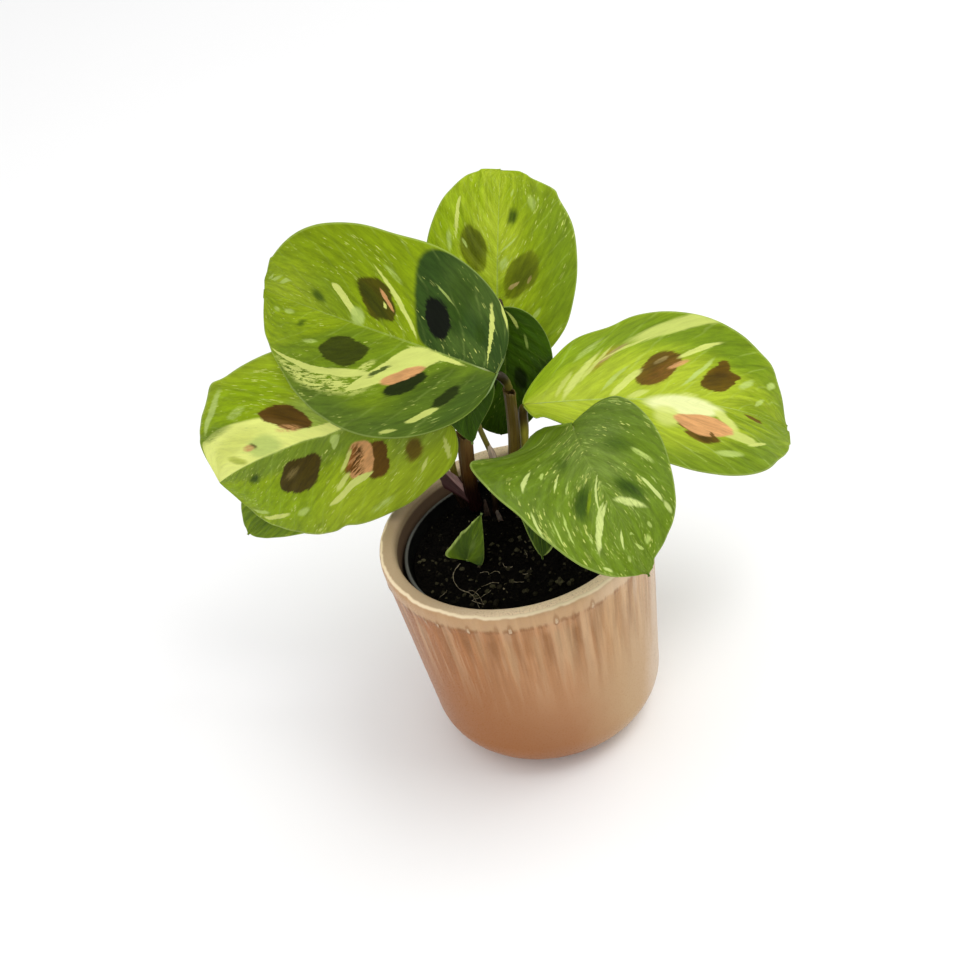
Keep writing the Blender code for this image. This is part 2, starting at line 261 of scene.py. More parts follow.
# Each blade: where its stalk joins it, its size, and how it is turned, bent and rolled; tip is
# how far the point is drawn out. A row of edges, shifts or lifts is (side, place along, spread,
# amount): edges widen the blade, shifts move its margin back and lifts raise it.
bladeShape = {"rows": 120, "columns": 64, "steps": 24, "veinReach": 2.2, "veinBend": 1.25,
              "lobeReach": 5, "tipStart": 0.93, "thickness": 0.35 * mm, "pleats": 13,
              "pleatHeight": 0.28 * mm, "pleatLean": 0.06, "pleatWander": 0.025,
              "grooveDepth": 0.28 * mm, "grooveWidth": 0.6 * mm, "fullLength": 0.06}
leaves = {
    "leafLargeLeft": dict(
        node="leaf_large_left", slot="leaf", base=(0.0045, 0.0082, 0.1150), length=0.0768,
        left=0.0289, right=0.0280, heading=150, lift=20, roll=-30, droop=17, tipDroop=6,
        sway=0, twist=-42, baseRound=0.44, tipRound=0.49, lobes=0.05, fold=(8, 9),
        curl=(14, 8), tip=0.3 * mm, waves=0.5 * mm,
        edges=((-1, 0.27, 0.07, -0.04), (-1, 0.55, 0.14, 0.05), (-1, 0.80, 0.02, 0.09),
               (-1, 0.86, 0.02, -0.10), (-1, 0.95, 0.03, 0.50), (-1, 0.99, 0.02, 2.5),
               (1, 0.84, 0.16, 0.22), (1, 0.985, 0.02, 1.5))),
    "leafUprightBack": dict(
        node="leaf_upright_back", slot="leaf", base=(0.0058, 0.0361, 0.0989), length=0.0585,
        left=0.0213, right=0.0233, heading=68, lift=60, roll=9, droop=14, tipDroop=11,
        sway=-3, twist=6, baseRound=0.46, tipRound=0.45, lobes=0.06, fold=(9, 5),
        curl=(19, 15), tip=0.0, waves=0.4 * mm,
        edges=((1, 0.93, 0.05, 0.60), (1, 0.78, 0.06, 0.03), (-1, 0.10, 0.05, 0.03),
               (-1, 0.45, 0.08, 0.018), (-1, 0.65, 0.05, 0.08), (-1, 0.77, 0.045, -0.11),
               (-1, 0.94, 0.06, 0.40))),
    "leafShadedMiddle": dict(
        node="leaf_shaded_middle", slot="shaded_leaf", base=(0.0092, 0.0308, 0.1213),
        length=0.0442, left=0.0141, right=0.0161, heading=262, lift=-88, roll=0, droop=7,
        tipDroop=2, sway=-18, twist=-5, baseRound=0.56, tipRound=0.64, lobes=0.09,
        fold=(7, 8), curl=(29, 18), tip=0.2 * mm, waves=0.3 * mm, edges=()),
    "leafTuckedUnder": dict(
        node="leaf_tucked_under", slot="shaded_leaf", base=(-0.0045, 0.0153, 0.1160),
        length=0.0229, left=0.0100, right=0.0095, heading=258, lift=-72, roll=8, droop=6,
        tipDroop=2, sway=-4, twist=0, baseRound=0.46, tipRound=0.80, lobes=0.10,
        fold=(9, 9), curl=(12, 16), tip=0.8 * mm, waves=0.2 * mm,
        edges=((1, 0.60, 0.35, -0.55), (-1, 0.60, 0.30, -0.15))),
    "leafLowerLeft": dict(
        node="leaf_lower_left", slot="leaf", base=(-0.0116, 0.0158, 0.1018), length=0.0852,
        left=0.0297, right=0.0278, heading=166, lift=-1, roll=-40, droop=25, tipDroop=18,
        sway=14, twist=-17, baseRound=0.39, tipRound=0.32, lobes=0.14, fold=(-21, 12),
        curl=(16, 13), tip=1.0 * mm, waves=0.5 * mm,
        edges=((1, 0.06, 0.03, -0.05), (1, 0.30, 0.03, -0.03), (1, 0.47, 0.12, 0.035),
               (-1, 0.54, 0.05, 0.085), (-1, 0.88, 0.06, 0.20))),
    "leafBehindLowerLeft": dict(
        node="leaf_behind_lower_left", slot="leaf", base=(-0.0254, 0.0247, 0.0844),
        length=0.0671, left=0.0131, right=0.0181, heading=164, lift=-9, roll=-65, droop=15,
        tipDroop=4, sway=28, twist=-6, baseRound=0.52, tipRound=0.70, lobes=0.06,
        fold=(7, 12), curl=(17, 9), tip=0.8 * mm, waves=0.3 * mm, edges=()),
    "leafRight": dict(
        node="leaf_right", slot="leaf", base=(0.0101, 0.0150, 0.0989), length=0.0913,
        left=0.0297, right=0.0245, heading=6, lift=-12, roll=5, droop=19, tipDroop=23,
        sway=0, twist=23, baseRound=0.81, tipRound=0.63, lobes=0.05, fold=(11, 5),
        curl=(-12, 23), tip=0.2 * mm, waves=0.6 * mm,
        edges=((1, 0.10, 0.03, 0.05), (1, 0.17, 0.03, -0.04), (1, 0.67, 0.05, 0.08),
               (1, 0.87, 0.06, -0.62), (-1, 0.005, 0.012, 1.40), (-1, 0.65, 0.07, -0.07),
               (-1, 0.92, 0.05, 0.90))),
    "leafDroopingFront": dict(
        node="leaf_drooping_front", slot="shaded_leaf", base=(0.0216, 0.0027, 0.0972),
        length=0.0596, left=0.0201, right=0.0319, heading=266, lift=15, roll=40, droop=41,
        tipDroop=42, sway=4, twist=-43, baseRound=0.41, tipRound=0.62, lobes=0.20,
        fold=(-10, 4), curl=(12, -63), tip=1.3 * mm, waves=0.5 * mm,
        shifts=((-1, 0.006, 0.007, 0.065), (-1, 0.05, 0.025, -0.020)),
        lifts=((-1, 0.0, 0.012, 2.9 * mm),),
        edges=((1, 0.55, 0.12, 0.09), (1, 0.78, 0.06, -0.34), (1, 0.95, 0.04, 1.2),
               (-1, 0.83, 0.10, -0.10), (-1, 0.36, 0.05, -0.03), (-1, 0.94, 0.04, 0.30))),
    "leafYoungSoil": dict(
        node="leaf_young_soil", slot="leaf", base=(-0.0154, -0.0022, 0.0624), length=0.0138,
        left=0.0068, right=0.0053, heading=51, lift=51, roll=-2, droop=19, tipDroop=5,
        sway=0, twist=-7, baseRound=0.12, tipRound=0.95, lobes=0.06, fold=(9, 9),
        curl=(14, 17), tip=0.6 * mm, waves=0.3 * mm,
        edges=((1, 0.02, 0.06, 0.20), (1, 0.45, 0.20, -0.18), (1, 0.30, 0.035, 0.12),
               (1, 0.52, 0.035, 0.14), (1, 0.72, 0.03, 0.16), (-1, 0.50, 0.30, 0.12))),
    "leafLowBehindFront": dict(
        node="leaf_low_behind_front", slot="leaf", base=(0.0051, 0.0095, 0.0810),
        length=0.0299, left=0.0074, right=0.0067, heading=281, lift=-8, roll=-32, droop=25,
        tipDroop=7, sway=-3, twist=-3, baseRound=0.49, tipRound=0.64, lobes=0.06,
        fold=(7, 12), curl=(18, 10), tip=1.0 * mm, waves=0.2 * mm, edges=()),
}


def midribFrames(leaf):
    # point, along, up and left at equal steps from the stalk to the tip
    heading, lift = math.radians(leaf["heading"]), math.radians(leaf["lift"])
    along = Vector((math.cos(heading) * math.cos(lift), math.sin(heading) * math.cos(lift),
                    math.sin(lift)))
    left = Vector((-math.sin(heading), math.cos(heading), 0.0))
    roll = Matrix.Rotation(math.radians(leaf["roll"]), 3, along)
    up, left = roll @ along.cross(left), roll @ left
    point = Vector(leaf["base"])
    frames = [(point.copy(), along.copy(), up.copy(), left.copy())]
    steps = bladeShape["steps"]
    for i in range(steps):
        share = (i + 0.5) / steps
        bend = leaf["droop"] + 3 * leaf["tipDroop"] * share ** 2
        turn = Matrix.Rotation(math.radians(bend) / steps, 3, left)
        along, up = turn @ along, turn @ up
        turn = Matrix.Rotation(math.radians(leaf["sway"]) / steps, 3, up)
        along, left = turn @ along, turn @ left
        turn = Matrix.Rotation(math.radians(leaf["twist"]) / steps, 3, along)
        left, up = turn @ left, turn @ up
        point = point + along * (leaf["length"] / steps)
        frames.append((point.copy(), along.copy(), up.copy(), left.copy()))
    return frames


def frameAt(frames, share):
    place = min(max(share, 0.0), 1.0) * bladeShape["steps"]
    index = min(int(place), bladeShape["steps"] - 1)
    return [a.lerp(b, place - index) for a, b in zip(frames[index], frames[index + 1])]


def widthShare(leaf, t):
    a, b = leaf["baseRound"], leaf["tipRound"]
    widest = a / (a + b)
    t = min(max(t, 0.0), 1.0)
    return (t / widest) ** a * ((1 - t) / (1 - widest)) ** b


def nearRows(rows, u, v):
    # what each row on this side of the midrib amounts to here
    return [amount * math.exp(-((u - centre) / spread) ** 2)
            for side, centre, spread, amount in rows if side * v > 0]


def bladePoint(leaf, frames, u, v):
    # u follows the midrib, and v runs from -1 (right) to 1 (left) along the side veins
    length, half = leaf["length"], 0 if v >= 0 else 1
    width = leaf["right"] if half else leaf["left"]
    t = 1 - (1 - u) ** bladeShape["veinReach"]
    share = widthShare(leaf, t)
    marginX = length * (t - leaf["lobes"] * share * (1 - t) ** bladeShape["lobeReach"]
                        - sum(nearRows(leaf.get("shifts", ()), u, v)))
    x = length * u + (marginX - length * u) * abs(v) ** bladeShape["veinBend"]
    for change in nearRows(leaf["edges"], u, v):
        share *= 1 + change
    start = math.radians(leaf["fold"][half])
    bend = math.radians(leaf["curl"][half]) / width
    end = start - bend * width * share * abs(v)
    side = (math.sin(start) - math.sin(end)) / bend
    rise = (math.cos(end) - math.cos(start)) / bend
    rise += sum(nearRows(leaf.get("lifts", ()), u, v)) * abs(v) * min(1.0, 5 * share)
    point, along, up, left = frameAt(frames, x / length)
    past = min(x, 0.0) + max(x - length, 0.0)
    tipShare = max(0.0, (u - bladeShape["tipStart"]) / (1 - bladeShape["tipStart"]))
    past += leaf["tip"] * tipShare ** 2
    return point + along * past + left * math.copysign(side, v) + up * rise


def bladeRelief(leaf, u, v, seed):
    # pleats between the side veins, a groove over the midrib, and a gently waved margin
    away = abs(v)
    width = leaf["left"] if v >= 0 else leaf["right"]
    shift = bladeShape["pleatWander"] * noise.noise(Vector((u * 4, v * 3, seed)))
    pleat = bladeShape["pleats"] * (u + shift - bladeShape["pleatLean"] * away)
    crest = abs(math.sin(math.pi * pleat)) ** 0.8
    fade = (1 - away ** 4) * min(1.0, away * 4) * min(1.0, (1 - u) * 6, u * 10)
    groove = math.exp(-(v * width / bladeShape["grooveWidth"]) ** 2) * (1 - u)
    slow = noise.noise(Vector((u * 4.5, v * 1.6, seed + 7.3)))
    quick = noise.noise(Vector((u * 12.0, v * 2.0, seed + 3.1)))
    return min(1.0, leaf["length"] / bladeShape["fullLength"]) * (
        bladeShape["pleatHeight"] * fade * (crest - 0.6) - bladeShape["grooveDepth"] * groove
        + leaf["waves"] * (1.7 * slow * away ** 1.5 + 0.8 * quick * away ** 4))


def makeBlade(name, leaf, materials, seed):
    frames = midribFrames(leaf)
    bm = bmesh.new()
    bmesh.ops.create_grid(
        bm, x_segments=bladeShape["rows"], y_segments=bladeShape["columns"], size=1.0)
    alongRib, acrossBlade = floatLayer(bm, "alongRib"), floatLayer(bm, "acrossBlade")
    for vert in bm.verts:
        vert[alongRib] = ((vert.co.x + 1) / 2) ** 1.3
        vert[acrossBlade] = vert.co.y
        vert.co = bladePoint(leaf, frames, vert[alongRib], vert[acrossBlade])
    bm.normal_update()
    for vert in bm.verts:
        vert.co += vert.normal * bladeRelief(leaf, vert[alongRib], vert[acrossBlade], seed)
    leafMap = bm.loops.layers.uv.new("leafMap")
    for face in bm.faces:
        for loop in face.loops:
            loop[leafMap].uv = (loop.vert[alongRib], (loop.vert[acrossBlade] + 1) / 2)
    bmesh.ops.remove_doubles(bm, verts=bm.verts, dist=1e-6)
    piece = finishPiece(name, bm, materials, (leaf["node"],))
    addWall(piece, bladeShape["thickness"]).material_offset = 1  # the underside's finish
    return frames


def makeCoordsGroup():
    # the leaf's map, the same torn into feathered edges, and its place in centimetres
    tree, given, result = newGroup(
        "leafCoords", {"UV": None, "Length": 7.0, "Width": 3.0, "Lean": 0.3},
        {"Plain": "Vector", "Torn": "Vector", "Place": "Vector"})
    parts = splitVector(tree, given["UV"])
    across = calc(tree, "MULTIPLY_ADD", parts[1], 2.0, -1.0)
    slant = calc(tree, "MULTIPLY", calc(tree, "ABSOLUTE", across), given["Lean"])
    x = calc(tree, "MULTIPLY", calc(tree, "SUBTRACT", parts[0], slant), given["Length"])
    place = joinVector(tree, x, calc(tree, "MULTIPLY", across, given["Width"]))
    fibres = stretchedNoise(tree, place, (22.0, 2.5, 1.0), 4.0, 0.7)
    lumps = times(tree, calc(tree, "SUBTRACT", noiseAt(tree, place, 1.4), 0.5), 0.10)
    ends = calc(tree, "MULTIPLY_ADD", calc(tree, "SUBTRACT", fibres, 0.5), 0.10, lumps)
    sides = calc(tree, "SUBTRACT", noiseAt(tree, place, 3.2, 5.0, 0.68), 0.5)
    sides = times(tree, sides, 0.040)
    plain = joinVector(tree, calc(tree, "MULTIPLY_ADD", sides, 0.25, parts[0]), across)
    tree.links.new(plain, result["Plain"])
    torn = joinVector(tree, calc(tree, "ADD", parts[0], sides), calc(tree, "ADD", across, ends))
    tree.links.new(torn, result["Torn"])
    tree.links.new(place, result["Place"])
    return tree


def makeMarkGroup():
    # a blotch on the leaf's map; Across and Ends set how square, round or pointed it is
    tree, given, result = newGroup(
        "leafMark", {"Plain": None, "Torn": None, "Centre": None, "Size": None, "Ragged": 1.0,
                     "Lean": 0.0, "Bend": 0.0, "Taper": 0.0, "Across": 2.5, "Ends": 2.5,
                     "Edge": 0.15}, {"Mask": "Float"})
    torn = vectorCalc(tree, "SUBTRACT", given["Torn"], given["Plain"])
    source = vectorCalc(tree, "SCALE", torn)
    tree.links.new(given["Ragged"], source.node.inputs["Scale"])
    source = vectorCalc(tree, "ADD", source, given["Plain"])
    parts = splitVector(tree, vectorCalc(tree, "SUBTRACT", source, given["Centre"]))
    size = splitVector(tree, given["Size"])
    far = calc(tree, "DIVIDE", parts[1], size[1])
    shift = calc(tree, "MULTIPLY_ADD", parts[1], given["Lean"], calc(
        tree, "MULTIPLY", given["Bend"], calc(tree, "MULTIPLY", far, far)))
    half = calc(tree, "MULTIPLY", size[0], calc(
        tree, "MAXIMUM", calc(tree, "MULTIPLY_ADD", given["Taper"], far, 1.0), 0.04))
    across = calc(tree, "DIVIDE", calc(tree, "SUBTRACT", parts[0], shift), half)
    powers = [calc(tree, "POWER", calc(tree, "ABSOLUTE", value), given[key])
              for value, key in ((across, "Across"), (far, "Ends"))]
    distance = calc(tree, "POWER", calc(tree, "ADD", *powers),
                    calc(tree, "DIVIDE", 1.0, given["Ends"]))
    inner = calc(tree, "SUBTRACT", 1.0, given["Edge"])
    outer = calc(tree, "ADD", 1.0, given["Edge"])
    tree.links.new(ramp(tree, distance, inner, outer, 1.0, 0.0), result["Mask"])
    return tree


def makeFleckGroup():
    # pale flecks drawn out along the side veins, gathered in drifts, with broken edges
    tree, given, result = newGroup(
        "leafFlecks", {"Place": None, "Scale": 5.0, "Stretch": 4.0, "Amount": 0.3,
                       "Softness": 0.10}, {"Mask": "Float"})
    jitter = addNode(tree, "ShaderNodeTexNoise", {
        "Vector": given["Place"], "Scale": calc(tree, "MULTIPLY", given["Scale"], 1.7),
        "Detail": 4.0, "Roughness": 0.7}).outputs["Color"]
    jitter = vectorCalc(tree, "SCALE", vectorCalc(tree, "SUBTRACT", jitter, (0.5, 0.5, 0.5)))
    tree.links.new(calc(tree, "DIVIDE", 1.3, given["Scale"]), jitter.node.inputs["Scale"])
    parts = splitVector(tree, vectorCalc(tree, "ADD", given["Place"], jitter))
    place = joinVector(tree, parts[0], calc(tree, "DIVIDE", parts[1], given["Stretch"]))
    cells = addNode(tree, "ShaderNodeTexVoronoi", {"Vector": place, "Scale": given["Scale"]},
                    voronoi_dimensions="2D").outputs
    draws = splitVector(tree, cells["Color"])
    drift = ramp(tree, noiseAt(tree, given["Place"], 1.1, 3.0), 0.36, 0.64, 0.25, 1.75)
    keep = calc(tree, "MULTIPLY", given["Amount"], drift)
    size = calc(tree, "MULTIPLY", calc(tree, "ADD", calc(tree, "SUBTRACT", draws[0], 1.0), keep),
                1.1)
    inside = calc(tree, "SUBTRACT", size, cells["Distance"])
    strength = calc(tree, "MULTIPLY_ADD", calc(tree, "POWER", draws[1], 1.7), 0.85, 0.15)
    tree.links.new(calc(tree, "MULTIPLY", strength, ramp(tree, inside, 0.0, given["Softness"])),
                   result["Mask"])
    return tree


def makeVeinGroup():
    # the midrib, side veins, painted pleat shading and margin as masks, and a height for the bump
    tree, given, result = newGroup(
        "leafVeins", {"Map": None, "Place": None, "Count": 13.0},
        {"Midrib": "Float", "Core": "Float", "SideVeins": "Float", "PaintedPleatShade": "Float",
         "Margin": "Float", "Height": "Float"})
    parts = splitVector(tree, given["Map"])
    away = calc(tree, "ABSOLUTE", parts[1])
    offRib = calc(tree, "ABSOLUTE", splitVector(tree, given["Place"])[1])
    wobble = calc(tree, "MULTIPLY", noiseAt(tree, given["Place"], 0.8), 0.05)
    steps = calc(tree, "ADD", calc(tree, "SUBTRACT", parts[0], calc(tree, "MULTIPLY", away, 0.06)),
                 wobble)
    steps = calc(tree, "MULTIPLY", steps, given["Count"])
    side = ramp(tree, calc(tree, "PINGPONG", steps, 0.5), 0.0, 0.09, 1.0, 0.0)
    patchy = ramp(tree, noiseAt(tree, given["Place"], 1.3, 2.0), 0.35, 0.65)
    fine = calc(tree, "PINGPONG", calc(tree, "MULTIPLY", steps, 5.0), 0.5)
    cellular = noiseAt(tree, given["Place"], 13.0, 3.0, 0.65)
    # soft bands along the veins: painted shade and light of the pleats
    pleatShadeNoise = stretchedNoise(tree, given["Place"], (3.4, 0.5, 1.0), 3.0, 0.55)
    tree.links.new(ramp(tree, offRib, 0.012, 0.040, 1.0, 0.0), result["Midrib"])
    tree.links.new(ramp(tree, offRib, 0.004, 0.014, 1.0, 0.0), result["Core"])
    tree.links.new(calc(tree, "MULTIPLY", side, patchy), result["SideVeins"])
    tree.links.new(ramp(tree, pleatShadeNoise, 0.30, 0.70, -1.0, 1.0), result["PaintedPleatShade"])
    tree.links.new(ramp(tree, away, 0.978, 0.990), result["Margin"])
    tree.links.new(calc(tree, "MULTIPLY_ADD", ramp(tree, fine, 0.0, 0.5), 0.35, cellular),
                   result["Height"])
    return tree


leafCoords = makeCoordsGroup()
leafMark = makeMarkGroup()
leafFlecks = makeFleckGroup()
leafVeins = makeVeinGroup()

# the pale grey-green haze tone is painted sheen, laid in patches where a soft reflection shows on
# the leaves
tones = {
    "bright": (0.30, 0.42, 0.003), "lime": (0.46, 0.57, 0.030), "vivid": (0.27, 0.41, 0.0),
    "mid": (0.140, 0.230, 0.008), "grey": (0.125, 0.200, 0.030), "apple": (0.230, 0.330, 0.002),
    "dusk": (0.090, 0.155, 0.016), "deep": (0.035, 0.077, 0.009), "paintedSheen": (0.215, 0.300, 0.065),
    "shade": (0.052, 0.120, 0.002), "forest": (0.055, 0.112, 0.002), "moss": (0.030, 0.068, 0.001),
    "cream": (0.70, 0.77, 0.19), "butter": (0.92, 0.98, 0.26), "milk": (0.66, 0.77, 0.25),
    "pale": (0.52, 0.66, 0.16), "ivory": (0.88, 0.92, 0.42), "yellow": (0.60, 0.66, 0.10),
    "brown": (0.058, 0.034, 0.0), "umber": (0.130, 0.070, 0.001), "cocoa": (0.072, 0.062, 0.001),
    "olive": (0.046, 0.060, 0.001), "bronze": (0.175, 0.218, 0.003), "tan": (0.46, 0.35, 0.12),
    "black": (0.004, 0.006, 0.002), "pitch": (0.016, 0.027, 0.001), "salmon": (0.72, 0.37, 0.14),
    "russet": (0.125, 0.052, 0.003), "rust": (0.33, 0.12, 0.02),
}
darkTones = {"brown", "olive", "black", "umber", "bronze"}  # these show on the underside too
crispTones = {"cream", "pale", "yellow", "salmon", "tan", "ivory", "butter", "milk"}


def spot(tone, u, v, sizeU, sizeV, lean=0.0, shape=2.5, edge=0.14, strength=1.0, taper=0.0,
         bend=0.0, broken=0.0):
    # shape 8 keeps a straight edge along the midrib, below 2 is a pointed streak; lean and
    # taper follow the way out to the margin, and bend carries both ends towards the tip
    ragged = 0.0 if shape >= 6 else 0.4 if tone in crispTones else 0.9
    return dict(tone=tone, centre=(u, v, 0.0), size=(sizeU, sizeV, 1.0), bend=bend,
                lean=math.copysign(lean, lean * v), taper=math.copysign(taper, taper * v),
                across=shape, ends=max(shape, 2.0), ragged=ragged, edge=edge,
                strength=strength, broken=broken)


